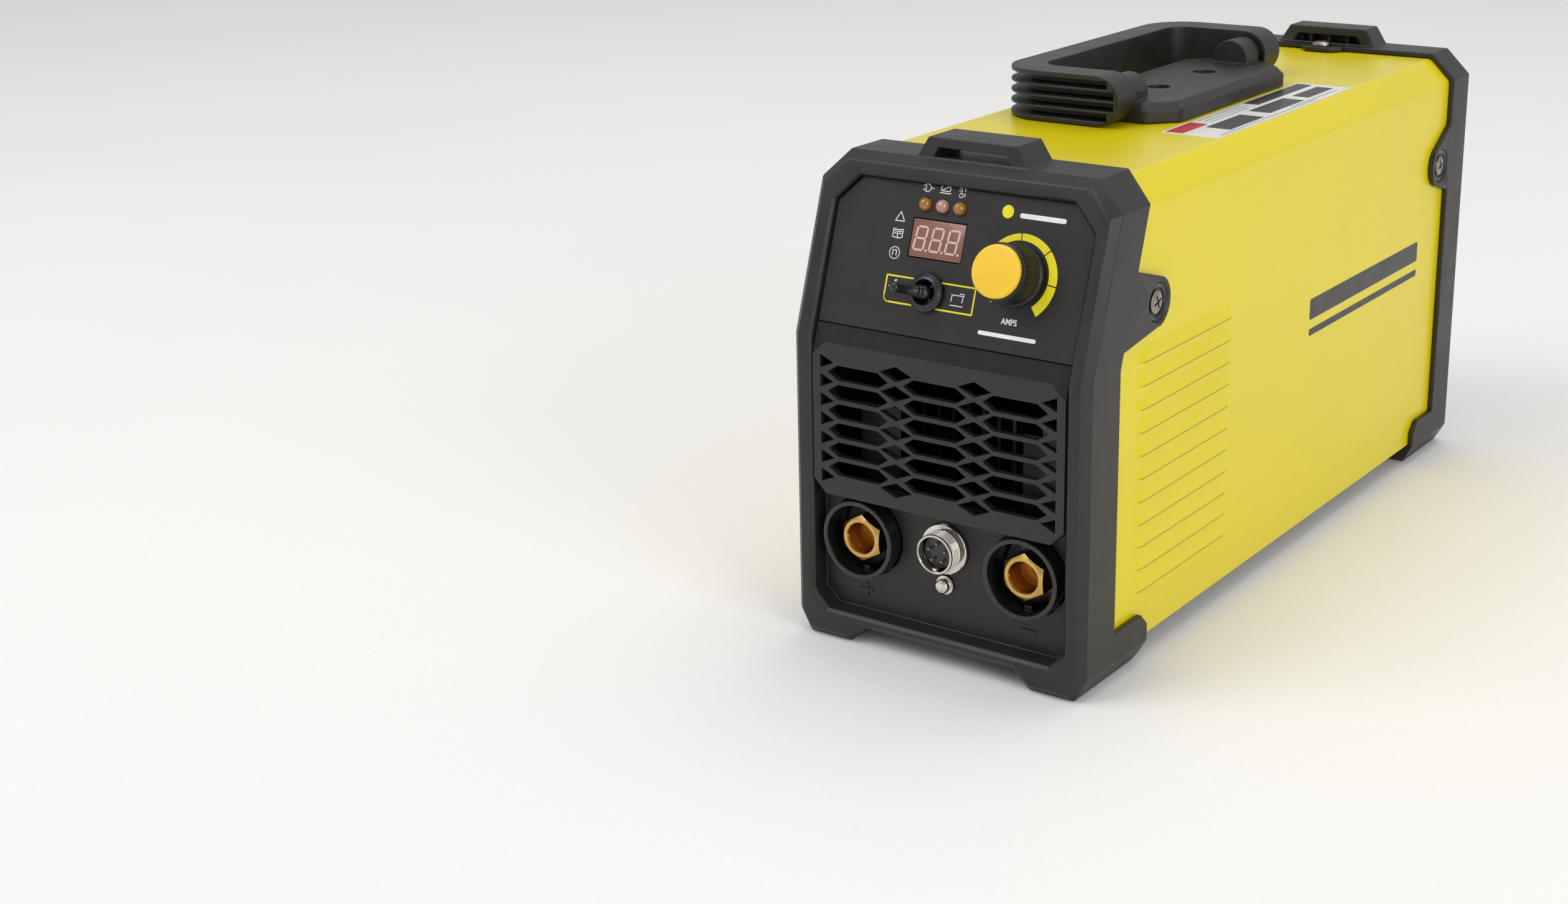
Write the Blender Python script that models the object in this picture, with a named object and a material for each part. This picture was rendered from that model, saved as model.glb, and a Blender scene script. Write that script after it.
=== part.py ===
"""Stick welding inverter: the working solids of the machine, each in its own node.

Metres, +Z up, front face towards -Y. The machine stands on the z = 0 plane and its
bounding box is centred on x = 0 and y = 0.
"""
import math

import bmesh
import bpy
from mathutils import Matrix, Vector

# ---- driving sizes -----------------------------------------------------------------
BODY_WIDTH = 0.128
BODY_LENGTH = 0.360
BODY_HEIGHT = 0.190
GLAND_REACH = 0.014            # how far the cable gland stands out behind the rear bezel

BREAK_HEIGHT = 0.122           # above this the front leans back
LEAN = math.radians(18.6)
TOP_CHAMFER = 0.011
FOOT_CLEARANCE = 0.0065        # middle of the bottom edge above the table
FOOT_INNER = 0.040
FOOT_OUTER = 0.059
FOOT_SLOPE = 0.007
SIDE_FOOT_HEIGHT = 0.009

WALL = 0.0022                  # moulded plastic wall
FIT = 0.0004                   # assembly gap between touching pieces
SHEET = 0.0012                 # cover and tray sheet
OVERSHOOT = 0.002              # how far a cutter runs past the wall it cuts

FRONT_WRAP = 0.024             # how far the front bezel reaches back
REAR_WRAP = 0.022
EDGE_BEVEL = 0.0033
RAIL_WIDTH = 0.0088            # bezel edge to the front opening
RECESS_DEPTH = 0.009           # socket recess
PANEL_DEPTH = 0.003            # control panel below the rail
FLOOR_THICKNESS = 0.0025
FASCIA_PLATE = 0.0020
OPENING_CORNER = 0.0095        # cut corners of the front and rear openings
OPENING_FOOT = 0.0060          # the front opening's lower corners
REAR_RECESS = 0.0050
RECESS_BOTTOM = 0.0125
GRILLE_GAP = 0.0012            # between the collars and the grille
GRILLE_TOP = 0.1205
GRILLE_CHAMFER = 0.0055
GRILLE_FACE = 0.0008           # grille face behind the rails
GRILLE_PLATE = 0.0030
GRILLE_BORDER = 0.0036
GRILLE_ROWS = 6                # rows of whole hexagons
GRILLE_BAR = 0.0018
GRILLE_LOZENGE = 0.0142        # width of a lozenge
GRILLE_POINT = 0.0045          # pointed end of a hexagon
GRILLE_LEDGE = 0.0065          # height of the sloping ledge from the grille up to the panel

SOCKET_SPACING = 0.036         # each output socket from the middle
SOCKET_HEIGHT = 0.043
COLLAR_RADIUS = 0.0158
COLLAR_WALL = 0.002
COLLAR_SETBACK = 0.002         # collar rim behind the front plane
CUP_DEPTH = 0.013
INSERT_HEX = 0.0164            # across flats
INSERT_FACE = 0.0072
INSERT_BORE = 0.006
INSERT_STANDOFF = 0.0075       # insert front above the cup floor
INSERT_TAIL = 0.004            # radius of the rear stud
INSERT_TAIL_LENGTH = 0.016

REMOTE_HEIGHT = 0.0455
REMOTE_THREAD = 0.008          # radius
REMOTE_BORE = 0.0068
REMOTE_FLANGE = 0.0100
REMOTE_LENGTH = 0.0085
STUD_HEIGHT = 0.0308
STUD_RADIUS = 0.0028

LED_SIZE = 0.0025
LED_PITCH = 0.0074
LED_MIDDLE = -0.0087
LED_UP = 0.0556                # along the leaning panel, from the break
DISPLAY_SIZE = (0.0225, 0.0140)
DISPLAY_MIDDLE = (-0.0089, 0.0430)
KNOB_MIDDLE = (0.0268, 0.0347)
KNOB_RADIUS = 0.0107
KNOB_HEIGHT = 0.0165
CAP_RADIUS = 0.0097
CAP_HEIGHT = 0.0022
CAP_EDGE = 0.0008
SHAFT_RADIUS = 0.003
POT_BODY = (0.0085, 0.009)     # radius and depth
BUSHING_RADIUS = 0.0045
TOGGLE_MIDDLE = (-0.0091, 0.0235)
TOGGLE_RING = 0.0074
TOGGLE_DOME = 0.0046
TOGGLE_LEVER = 0.0022
TOGGLE_REACH = 0.0150
TOGGLE_PIVOT = 0.0015          # pivot above the panel
TOGGLE_THROW = math.radians(24)

EAR_RADIUS = 0.0097
SCREW_HEIGHT = 0.1410
FRONT_SCREW_BACK = 0.0510      # side screw from the front plane
REAR_SCREW_IN = 0.0320         # side screw from the rear plane
COUNTERBORE = 0.0075
COUNTERBORE_DEPTH = 0.0012
SCREW_HEAD = 0.0044
SCREW_SHANK = 0.0018
TONGUE_REACH = 0.0500
TONGUE_HEIGHT = 0.0205
TAB_HALF_WIDTH = 0.0237
TAB_HEIGHT = 0.0078
TAB_SLOT = (0.0165, 0.0036)    # half width and height
FRONT_TAB_DEPTH = 0.0180
REAR_TAB_DEPTH = 0.0140
REAR_TAB_INSET = 0.0005

LOUVRE_COUNT = 11
LOUVRE_PITCH = 0.0090
LOUVRE_LENGTH = 0.0750
LOUVRE_START = 0.0415          # from the front plane
LOUVRE_FIRST = 0.0295          # lowest louvre
LOUVRE_RISE = 0.0017
COVER_BOTTOM = 0.0095
COVER_LAP = 0.0100             # how far the cover tucks into each bezel
REAR_TONGUE = 0.0450

HANDLE_START = 0.1180          # front end of the handle from the front plane
HANDLE_LENGTH = 0.1490
HANDLE_REACH = 0.0470          # pivot axis to the far edge
HUB_RADIUS = 0.0100
HANDLE_BAR = 0.0130            # width of the ring seen from above
HANDLE_CORNER = 0.0200
HANDLE_LIFT = 0.0005
LEG_THICKNESS = 0.0150
FIN_COUNT = 3
FIN_THICKNESS = 0.0012
CHANNEL_DEPTH = 0.0080
FLANGE = 0.0020
PLATE_HALF_WIDTH = 0.0245
PLATE_HEIGHT = 0.0080
PLATE_CORNER = 0.0110
PLATE_SCREW_GAP = 0.0420
PIVOT_RADIUS = 0.0040
BOSS_RADIUS = 0.0078
BOSS_LENGTH = 0.0140
PLATE_BEVEL = 0.0030
PLATE_FLOOR = 0.0030           # left under the base plate's screw heads
PIN_IN_BASE = 0.0100
PIN_IN_HANDLE = 0.0050

FAN_SIZE = 0.080
FAN_DEPTH = 0.020
FAN_HUB = 0.0170
FAN_BLADES = 7
FAN_HEIGHT = 0.077
FAN_SHAFT = 0.003
VENT_ROWS = 9
VENT_PITCH = 0.0082
VENT_SLOT = 0.0052
VENT_MIDDLE = 0.0018           # half of the bar down the middle of the vents
SWITCH_SIZE = (0.0280, 0.0220) # across and up
SWITCH_MIDDLE = (-0.028, 0.150)
ROCKER_THROW = math.radians(16)
GLAND_RADIUS = 0.0085
GLAND_BORE = 0.0045
GLAND_MIDDLE = (0.033, 0.150)

BOARD_START = 0.060            # main board from the front plane
BOARD_HALF = 0.052
BOARD_THICKNESS = 0.0016
POST_HEIGHT = 0.022
FAN_CLEARANCE = 0.020
HEATSINK_START = 0.010         # from the board's front edge
HEATSINK_LENGTH = 0.105
HEATSINK_HEIGHT = 0.046
CORE_SIZE = (0.060, 0.030, 0.046)

CIRCLE = 48                    # segments of a large circle
SMALL_CIRCLE = 28

# ---- places worked out from the driving sizes ---------------------------------------
# The knob's lower rim stands out in front of the rails by this much.
KNOB_REACH = ((KNOB_HEIGHT - PANEL_DEPTH) * math.cos(LEAN)
              + (CAP_RADIUS - CAP_EDGE - KNOB_MIDDLE[1]) * math.sin(LEAN))
FRONT = -(BODY_LENGTH + GLAND_REACH - KNOB_REACH) / 2
REAR = FRONT + BODY_LENGTH
HALF = BODY_WIDTH / 2
TOP = BODY_HEIGHT
COVER_HALF = HALF - WALL - FIT
COVER_TOP = TOP - WALL - FIT
GRILLE_BOTTOM = SOCKET_HEIGHT + COLLAR_RADIUS + GRILLE_GAP
RECESS_FLOOR = FRONT + RECESS_DEPTH
OPENING_HALF = HALF - RAIL_WIDTH
PANEL_NORMAL = Vector((0, -math.cos(LEAN), math.sin(LEAN)))
PANEL_UP = Vector((0, math.sin(LEAN), math.cos(LEAN)))
TRAY_BOTTOM = FOOT_CLEARANCE + WALL + FIT
REAR_FLOOR = REAR - REAR_RECESS - FLOOR_THICKNESS
TOP_SCREW = REAR - REAR_WRAP - 0.002
PLATE_BASE = COVER_TOP + FIT
PIVOT_HEIGHT = COVER_TOP + HANDLE_LIFT + HUB_RADIUS
HANDLE_FRONT = FRONT + HANDLE_START
HANDLE_BACK = HANDLE_FRONT + HANDLE_LENGTH
TAB_FRONT = FRONT + (TOP - BREAK_HEIGHT) * math.tan(LEAN) + EDGE_BEVEL

COLOURS = {
    "moulding": ((0.028, 0.026, 0.026), 0.55, 0.0),
    "gloss": ((0.012, 0.012, 0.012), 0.25, 0.0),
    "yellow": ((0.72, 0.61, 0.015), 0.22, 0.0),
    "rubber": ((0.02, 0.02, 0.02), 0.7, 0.0),
    "brass": ((0.75, 0.47, 0.14), 0.25, 1.0),
    "nickel": ((0.62, 0.6, 0.57), 0.25, 1.0),
    "steel": ((0.45, 0.45, 0.46), 0.35, 1.0),
    "aluminium": ((0.7, 0.7, 0.7), 0.4, 1.0),
    "copper": ((0.7, 0.3, 0.18), 0.3, 1.0),
    "board": ((0.02, 0.16, 0.06), 0.5, 0.0),
    "ferrite": ((0.05, 0.05, 0.055), 0.6, 0.0),
    "amber": ((0.55, 0.3, 0.03), 0.2, 0.0),
    "rose": ((0.6, 0.42, 0.36), 0.2, 0.0),
    "window": ((0.24, 0.12, 0.09), 0.2, 0.0),
}


# ---- tools --------------------------------------------------------------------------
def clear_scene():
    """Remove every object that is already in the scene."""
    for found in list(bpy.data.objects):
        bpy.data.objects.remove(found, do_unlink=True)


def paint(node, finish):
    """Give the node a material of its own."""
    colour, roughness, metallic = COLOURS[finish]
    mat = bpy.data.materials.new(node.name + "_finish")
    mat.use_nodes = True
    shader = mat.node_tree.nodes["Principled BSDF"]
    shader.inputs["Base Color"].default_value = (*colour, 1.0)
    shader.inputs["Roughness"].default_value = roughness
    shader.inputs["Metallic"].default_value = metallic
    node.data.materials.append(mat)


def make_node(name, bm, finish, at=(0, 0, 0), smooth=False):
    """Turn a bmesh, drawn in world coordinates, into an object whose origin is at."""
    bmesh.ops.recalc_face_normals(bm, faces=bm.faces)
    bmesh.ops.translate(bm, vec=-Vector(at), verts=bm.verts)
    mesh = bpy.data.meshes.new(name)
    bm.to_mesh(mesh)
    bm.free()
    node = bpy.data.objects.new(name, mesh)
    bpy.context.collection.objects.link(node)
    node.location = at
    if smooth:
        mesh.polygons.foreach_set("use_smooth", [True] * len(mesh.polygons))
    if finish:
        paint(node, finish)
    return node


def boolean(node, bm, operation, label):
    """Cut or join a second body, kept in the scene as a hidden wire object."""
    tool = make_node(node.name + "_" + label, bm, None)
    tool.hide_render = True
    tool.display_type = "WIRE"
    step = node.modifiers.new(label, "BOOLEAN")
    step.operation = operation
    step.solver = "EXACT"
    step.object = tool


def loft(bm, rings):
    """Skin a list of equal closed rings and cap both ends."""
    loops = [[bm.verts.new(p) for p in ring] for ring in rings]
    count = len(loops[0])
    for low, high in zip(loops, loops[1:]):
        for i in range(count):
            j = (i + 1) % count
            bm.faces.new((low[i], low[j], high[j], high[i]))
    bm.faces.new(loops[0])
    bm.faces.new(loops[-1])


def prism(bm, outline, axis, start, end):
    """Extrude an outline along x, y or z; the outline's two numbers are the other axes."""
    def place(a, b, depth):
        return {"x": (depth, a, b), "y": (a, depth, b), "z": (a, b, depth)}[axis]
    loft(bm, [[place(a, b, depth) for a, b in outline] for depth in (start, end)])


def box(bm, low, high):
    """A plain box between two corners."""
    (x0, y0, z0), (x1, y1, z1) = low, high
    prism(bm, [(x0, y0), (x1, y0), (x1, y1), (x0, y1)], "z", z0, z1)


def around(radius, angle, height):
    """A point at an angle round the z axis; the radius may be a function of the angle."""
    reach = radius(angle) if callable(radius) else radius
    return Vector((reach * math.cos(angle), reach * math.sin(angle), height))


def turned(bm, profile, frame=None, segments=CIRCLE):
    """Revolve (radius, height) pairs round the frame's z axis; ends on the axis close."""
    frame = frame or Matrix.Identity(4)
    rings = []
    for radius, height in profile:
        ring = []
        for i in range(segments if radius else 1):
            ring.append(frame @ around(radius, 2 * math.pi * i / segments, height))
        rings.append([bm.verts.new(p) for p in ring])
    for low, high in zip(rings, rings[1:]):
        for i in range(segments):
            j = (i + 1) % segments
            corners = [low[i % len(low)], low[j % len(low)], high[j % len(high)], high[i % len(high)]]
            unique = list(dict.fromkeys(corners))
            if len(unique) > 2:
                bm.faces.new(unique)
    for ring in (rings[0], rings[-1]):
        if len(ring) > 1 and rings[0] is not rings[-1]:
            bm.faces.new(ring)


def turned_ring(bm, profile, frame=None, segments=CIRCLE):
    """Revolve a closed (radius, height) outline that stays off the axis."""
    frame = frame or Matrix.Identity(4)
    loops = []
    for i in range(segments):
        angle = 2 * math.pi * i / segments
        loops.append([bm.verts.new(frame @ around(radius, angle, height))
                      for radius, height in profile])
    count = len(profile)
    for i in range(segments):
        here, there = loops[i], loops[(i + 1) % segments]
        for a in range(count):
            b = (a + 1) % count
            bm.faces.new((here[a], here[b], there[b], there[a]))


def inset(outline, amount):
    """Offset a convex-going outline inwards by a constant amount (counter-clockwise)."""
    result = []
    count = len(outline)
    for i in range(count):
        before, here, after = (Vector(outline[i - 1]), Vector(outline[i]),
                               Vector(outline[(i + 1) % count]))
        first = (here - before).normalized()
        second = (after - here).normalized()
        n1 = Vector((-first.y, first.x))
        n2 = Vector((-second.y, second.x))
        mitre = (n1 + n2) / (1 + n1.dot(n2))
        result.append(tuple(here + mitre * amount))
    return result


def arc(centre, radius, start, end, steps):
    """Points on an arc, angles in degrees."""
    angles = [math.radians(start + (end - start) * i / steps) for i in range(steps + 1)]
    return [(centre[0] + radius * math.cos(a), centre[1] + radius * math.sin(a)) for a in angles]


def mirrored(half):
    """A whole outline from its right half, given from the bottom up."""
    return half + [(-a, b) for a, b in reversed(half)]


def lean_back(bm, lowest_y=None, highest_y=None):
    """Shear what is above the break so that it leans back like the front."""
    bmesh.ops.bisect_plane(bm, geom=bm.verts[:] + bm.edges[:] + bm.faces[:],
                           plane_co=(0, 0, BREAK_HEIGHT), plane_no=(0, 0, 1), dist=1e-6)
    for vert in bm.verts:
        inside = (lowest_y is None or vert.co.y > lowest_y)
        inside = inside and (highest_y is None or vert.co.y < highest_y)
        if vert.co.z > BREAK_HEIGHT and inside:
            vert.co.y += (vert.co.z - BREAK_HEIGHT) * math.tan(LEAN)


def panel_frame(across, up, lift=0.0):
    """A frame on the leaning panel: x across, y up the panel, z out of it."""
    origin = Vector((0, FRONT, BREAK_HEIGHT)) - PANEL_NORMAL * PANEL_DEPTH
    origin += Vector((across, 0, 0)) + PANEL_UP * up + PANEL_NORMAL * lift
    basis = Matrix((Vector((1, 0, 0)), PANEL_UP, PANEL_NORMAL)).transposed().to_4x4()
    return Matrix.Translation(origin) @ basis


def facing_front(across, y, height):
    """A frame whose z axis points out of the front."""
    return Matrix.Translation((across, y, height)) @ Matrix.Rotation(math.pi / 2, 4, "X")


def facing_rear(across, y, height):
    """A frame whose z axis points out of the rear."""
    return Matrix.Translation((across, y, height)) @ Matrix.Rotation(-math.pi / 2, 4, "X")


def facing_side(side, x, y, height):
    """A frame whose z axis points out of the right (+1) or left (-1) side."""
    return Matrix.Translation((x, y, height)) @ Matrix.Rotation(side * math.pi / 2, 4, "Y")


# ---- outlines -----------------------------------------------------------------------
def body_outline():
    """The body seen from the front: feet below, chamfered corners above."""
    return mirrored([
        (FOOT_INNER - FOOT_SLOPE, FOOT_CLEARANCE), (FOOT_INNER, 0), (FOOT_OUTER, 0),
        (HALF, SIDE_FOOT_HEIGHT), (HALF, TOP - TOP_CHAMFER), (HALF - TOP_CHAMFER, TOP)])


def hollow_outline(gap):
    """The inside of the moulded wraps, above the tray."""
    low = FOOT_CLEARANCE + gap
    return mirrored([(HALF - gap, low), (HALF - gap, TOP - TOP_CHAMFER - gap * 0.41),
                     (HALF - TOP_CHAMFER - gap * 0.41, TOP - gap)])


def opening_outline(low, high, bottom_chamfer, top_chamfer):
    """A front opening between two heights, with cut corners."""
    return mirrored([(OPENING_HALF - bottom_chamfer, low), (OPENING_HALF, low + bottom_chamfer),
                     (OPENING_HALF, high - top_chamfer), (OPENING_HALF - top_chamfer, high)])


def ear_outline(edge, reach, direction):
    """The side ear round a screw that stands at reach; edge is the wrap's edge."""
    below = (edge, SCREW_HEIGHT - EAR_RADIUS - 0.004)
    above = (edge, SCREW_HEIGHT + EAR_RADIUS + 0.009)
    if direction > 0:
        return [below] + arc((reach, SCREW_HEIGHT), EAR_RADIUS, -80, 65, 16) + [above]
    return [above] + arc((reach, SCREW_HEIGHT), EAR_RADIUS, 115, 260, 16) + [below]


def slice_off(bm, point, normal):
    """Cut away what lies past a plane and close the cut."""
    cut = bmesh.ops.bisect_plane(bm, geom=bm.verts[:] + bm.edges[:] + bm.faces[:], dist=1e-7,
                                 plane_co=point, plane_no=normal, clear_outer=True)
    edges = [item for item in cut["geom_cut"] if isinstance(item, bmesh.types.BMEdge)]
    bmesh.ops.contextual_create(bm, geom=edges)


# ---- front --------------------------------------------------------------------------
def foot_and_tongue(bm, side, near, far):
    """A foot pad that runs on under the side wall, from the wrap's edge to its tip."""
    section = [(FOOT_INNER, 0), (FOOT_OUTER, 0), (HALF, SIDE_FOOT_HEIGHT), (HALF, TONGUE_HEIGHT),
               (HALF - WALL, TONGUE_HEIGHT), (HALF - WALL, TRAY_BOTTOM - FIT),
               (FOOT_INNER, TRAY_BOTTOM - FIT)]
    part = bmesh.new()
    prism(part, [(side * a, b) for a, b in section], "y", near, far)
    outwards = 1 if far > near else -1
    slice_off(part, (0, far - outwards * 0.005, TONGUE_HEIGHT), (0, outwards, 1))
    slice_off(part, (0, far - outwards * 0.003, 0), (0, outwards, -1))
    merge(bm, part)


def merge(bm, part):
    """Move the contents of one bmesh into another."""
    holder = bpy.data.meshes.new("holder")
    part.to_mesh(holder)
    part.free()
    bm.from_mesh(holder)
    bpy.data.meshes.remove(holder)


def strap_tab(bm, near, far):
    """The raised loop on top of a bezel that a carrying strap threads through."""
    outline = mirrored([(TAB_HALF_WIDTH, TOP - WALL / 2), (TAB_HALF_WIDTH, TOP),
                        (TAB_HALF_WIDTH - 0.005, TOP + TAB_HEIGHT)])
    prism(bm, outline, "y", near, far)


def strap_slot(bm, near, far):
    """The slot through a strap tab."""
    half, height = TAB_SLOT
    low = TOP + FIT
    prism(bm, [(-half, low), (half, low), (half - 0.002, low + height), (0.002 - half, low + height)],
          "y", near - OVERSHOOT, far + OVERSHOOT)


def screw_seats(bm, y):
    """Counterbore and clearance hole for the side screws, on both ears."""
    for side in (-1, 1):
        seat = facing_side(side, side * (HALF - COUNTERBORE_DEPTH), y, SCREW_HEIGHT)
        turned(bm, [(0, -0.004), (SCREW_SHANK + FIT, -0.004), (SCREW_SHANK + FIT, 0),
                    (COUNTERBORE, 0), (COUNTERBORE, 0.004), (0, 0.004)], seat, SMALL_CIRCLE)


def front_bezel():
    """The black front moulding: rails, recess floor, feet, ears and strap tab."""
    outline = body_outline()
    bm = bmesh.new()
    loft(bm, [[(a, FRONT, b) for a, b in inset(outline, EDGE_BEVEL)],
              [(a, FRONT + EDGE_BEVEL, b) for a, b in outline],
              [(a, FRONT + FRONT_WRAP, b) for a, b in outline]])
    lean_back(bm)
    node = make_node("front_bezel", bm, "moulding")

    hollow = bmesh.new()
    prism(hollow, hollow_outline(WALL), "y", RECESS_FLOOR + FLOOR_THICKNESS,
          FRONT + FRONT_WRAP + OVERSHOOT)
    lean_back(hollow)
    boolean(node, hollow, "DIFFERENCE", "hollow")

    additions = bmesh.new()
    edge = FRONT + FRONT_WRAP - OVERSHOOT
    for side in (-1, 1):
        foot_and_tongue(additions, side, edge, FRONT + TONGUE_REACH)
        prism(additions, ear_outline(edge, FRONT + FRONT_SCREW_BACK, 1), "x",
              side * (HALF - WALL), side * HALF)
    strap_tab(additions, TAB_FRONT, TAB_FRONT + FRONT_TAB_DEPTH)
    boolean(node, additions, "UNION", "additions")

    opening = bmesh.new()
    full = opening_outline(RECESS_BOTTOM, TOP - RAIL_WIDTH, OPENING_FOOT, OPENING_CORNER)
    loft(opening, [[(a, FRONT - OVERSHOOT, b) for a, b in inset(full, -OVERSHOOT - 0.0015)],
                   [(a, FRONT + 0.0015, b) for a, b in full],
                   [(a, RECESS_FLOOR, b) for a, b in full]])
    lean_back(opening)
    boolean(node, opening, "DIFFERENCE", "opening")

    windows = bmesh.new()
    prism(windows, inset(grille_outline(), 0.0035), "y", RECESS_FLOOR - OVERSHOOT,
          RECESS_FLOOR + FLOOR_THICKNESS + OVERSHOOT)
    upper = bmesh.new()
    prism(upper, inset(fascia_outline(), 0.0045), "y", RECESS_FLOOR - OVERSHOOT,
          RECESS_FLOOR + FLOOR_THICKNESS + OVERSHOOT)
    lean_back(upper)
    merge(windows, upper)
    for side in (-1, 1):
        through_hole(windows, side * SOCKET_SPACING, SOCKET_HEIGHT, COLLAR_RADIUS + FIT, CIRCLE)
    through_hole(windows, 0, REMOTE_HEIGHT, REMOTE_THREAD + FIT, SMALL_CIRCLE)
    through_hole(windows, 0, STUD_HEIGHT, SCREW_SHANK + FIT, SMALL_CIRCLE)
    screw_seats(windows, FRONT + FRONT_SCREW_BACK)
    strap_slot(windows, TAB_FRONT, TAB_FRONT + FRONT_TAB_DEPTH)
    boolean(node, windows, "DIFFERENCE", "windows")
    return node


def through_hole(bm, across, height, radius, segments):
    """A hole through the recess floor."""
    frame = facing_front(across, RECESS_FLOOR, height)
    turned(bm, [(0, -FLOOR_THICKNESS - OVERSHOOT), (radius, -FLOOR_THICKNESS - OVERSHOOT),
                (radius, OVERSHOOT), (0, OVERSHOOT)], frame, segments)


def grille_outline():
    """The grille insert seen from the front."""
    half = OPENING_HALF - FIT
    cut = GRILLE_CHAMFER
    return mirrored([(half - cut, GRILLE_BOTTOM), (half, GRILLE_BOTTOM + cut),
                     (half, GRILLE_TOP - cut), (half - cut, GRILLE_TOP)])


def fascia_outline():
    """The control panel seen from the front, before it leans back."""
    half = OPENING_HALF - FIT
    top = TOP - RAIL_WIDTH - FIT
    low = GRILLE_TOP + GRILLE_LEDGE + FIT
    return mirrored([(half, low), (half, top - OPENING_CORNER), (half - OPENING_CORNER, top)])


def hexagon(across, up, half_width, half_height):
    """A long hexagon with its points to the sides."""
    point = GRILLE_POINT
    return [(across - half_width, up), (across - half_width + point, up - half_height),
            (across + half_width - point, up - half_height), (across + half_width, up),
            (across + half_width - point, up + half_height),
            (across - half_width + point, up + half_height)]


def rhombus(across, up, half_width, half_height):
    """A lozenge."""
    return [(across - half_width, up), (across, up - half_height),
            (across + half_width, up), (across, up + half_height)]


def front_grille():
    """The vent insert: rows of long hexagons with lozenges between them."""
    node = make_node("front_grille", grille_body(), "moulding")
    back = bmesh.new()
    prism(back, inset(grille_outline(), GRILLE_PLATE), "y", FRONT + GRILLE_FACE + GRILLE_PLATE,
          RECESS_FLOOR + OVERSHOOT)
    boolean(node, back, "DIFFERENCE", "back")
    holes = bmesh.new()
    middle = (GRILLE_TOP + GRILLE_BOTTOM) / 2
    half_field = OPENING_HALF - FIT - GRILLE_BORDER
    column_pitch = 2 * half_field / 3
    row_pitch = (GRILLE_TOP - GRILLE_BOTTOM - 2 * GRILLE_BORDER) / (GRILLE_ROWS + 1)
    half_height = (row_pitch - GRILLE_BAR) / 2
    hexagon_half = (column_pitch - GRILLE_LOZENGE - GRILLE_BAR) / 2 + GRILLE_POINT
    near, far = FRONT - OVERSHOOT, FRONT + GRILLE_FACE + GRILLE_PLATE + OVERSHOOT
    for column in (-1, 0, 1):
        for row in range(GRILLE_ROWS):
            up = middle + (row - (GRILLE_ROWS - 1) / 2) * row_pitch
            prism(holes, hexagon(column * column_pitch, up, hexagon_half, half_height), "y", near, far)
    for row in range(GRILLE_ROWS + 1):
        up = middle + (row - GRILLE_ROWS / 2) * row_pitch
        for side in (-1, 1):
            lozenge = rhombus(side * column_pitch / 2, up, GRILLE_LOZENGE / 2, half_height)
            prism(holes, lozenge, "y", near, far)
            base = side * half_field
            tip = side * (half_field + GRILLE_BAR / 2 - GRILLE_LOZENGE / 2)
            wedge = [(base, up - half_height * 0.9), (base, up + half_height * 0.9), (tip, up)]
            prism(holes, wedge, "y", near, far)
    boolean(node, holes, "DIFFERENCE", "holes")
    return node


def grille_body():
    """The insert before it is hollowed: a block whose top slopes back to the panel."""
    half, cut = OPENING_HALF - FIT, GRILLE_CHAMFER
    face, top = FRONT + GRILLE_FACE, GRILLE_TOP + GRILLE_LEDGE
    depth = PANEL_DEPTH / math.cos(LEAN) + (top - BREAK_HEIGHT) * math.tan(LEAN) - GRILLE_FACE
    bm = bmesh.new()
    prism(bm, mirrored([(half - cut, GRILLE_BOTTOM), (half, GRILLE_BOTTOM + cut), (half, top)]), "y",
          face, RECESS_FLOOR - FIT)
    slice_off(bm, (0, face, GRILLE_TOP), (0, -GRILLE_LEDGE, depth))
    for side in (-1, 1):
        slice_off(bm, (side * half, face, GRILLE_TOP - cut), (side * depth, -cut - GRILLE_LEDGE, depth))
    return bm


def control_fascia():
    """The leaning control panel, a shallow lid with holes for what shows through it."""
    bm = bmesh.new()
    depth = PANEL_DEPTH / math.cos(LEAN)
    prism(bm, fascia_outline(), "y", FRONT + depth, RECESS_FLOOR - FIT)
    lean_back(bm)
    node = make_node("control_fascia", bm, "moulding")
    back = bmesh.new()
    prism(back, inset(fascia_outline(), 0.0025), "y", FRONT + depth + FASCIA_PLATE / math.cos(LEAN),
          RECESS_FLOOR + OVERSHOOT)
    lean_back(back)
    boolean(node, back, "DIFFERENCE", "back")
    holes = bmesh.new()
    reach = FASCIA_PLATE + OVERSHOOT
    for across, up, radius in control_holes():
        turned(holes, [(0, -reach), (radius, -reach), (radius, OVERSHOOT), (0, OVERSHOOT)],
               panel_frame(across, up), SMALL_CIRCLE)
    width, height = DISPLAY_SIZE
    frame = panel_frame(*DISPLAY_MIDDLE)
    window = bmesh.new()
    box(window, (-width / 2 - FIT, -height / 2 - FIT, -reach),
        (width / 2 + FIT, height / 2 + FIT, OVERSHOOT))
    bmesh.ops.transform(window, matrix=frame, verts=window.verts)
    merge(holes, window)
    boolean(node, holes, "DIFFERENCE", "holes")
    return node


def led_places():
    """Name and place of each indicator."""
    return [("led_mains", -1, "amber"), ("led_safe_voltage", 0, "rose"), ("led_overheat", 1, "amber")]


def control_holes():
    """Every round hole through the fascia: across, up, radius."""
    holes = [(LED_MIDDLE + step * LED_PITCH, LED_UP, LED_SIZE + FIT / 2) for _, step, _ in led_places()]
    holes.append((*KNOB_MIDDLE, BUSHING_RADIUS + FIT))
    holes.append((*TOGGLE_MIDDLE, TOGGLE_DOME + FIT))
    return holes


def panel_node(name, profile, middle, finish, segments=CIRCLE):
    """A turned piece that stands on the leaning panel, its origin on the panel."""
    bm = bmesh.new()
    frame = panel_frame(*middle)
    turned(bm, profile, frame, segments)
    return make_node(name, bm, finish, frame.translation, smooth=True)


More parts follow.
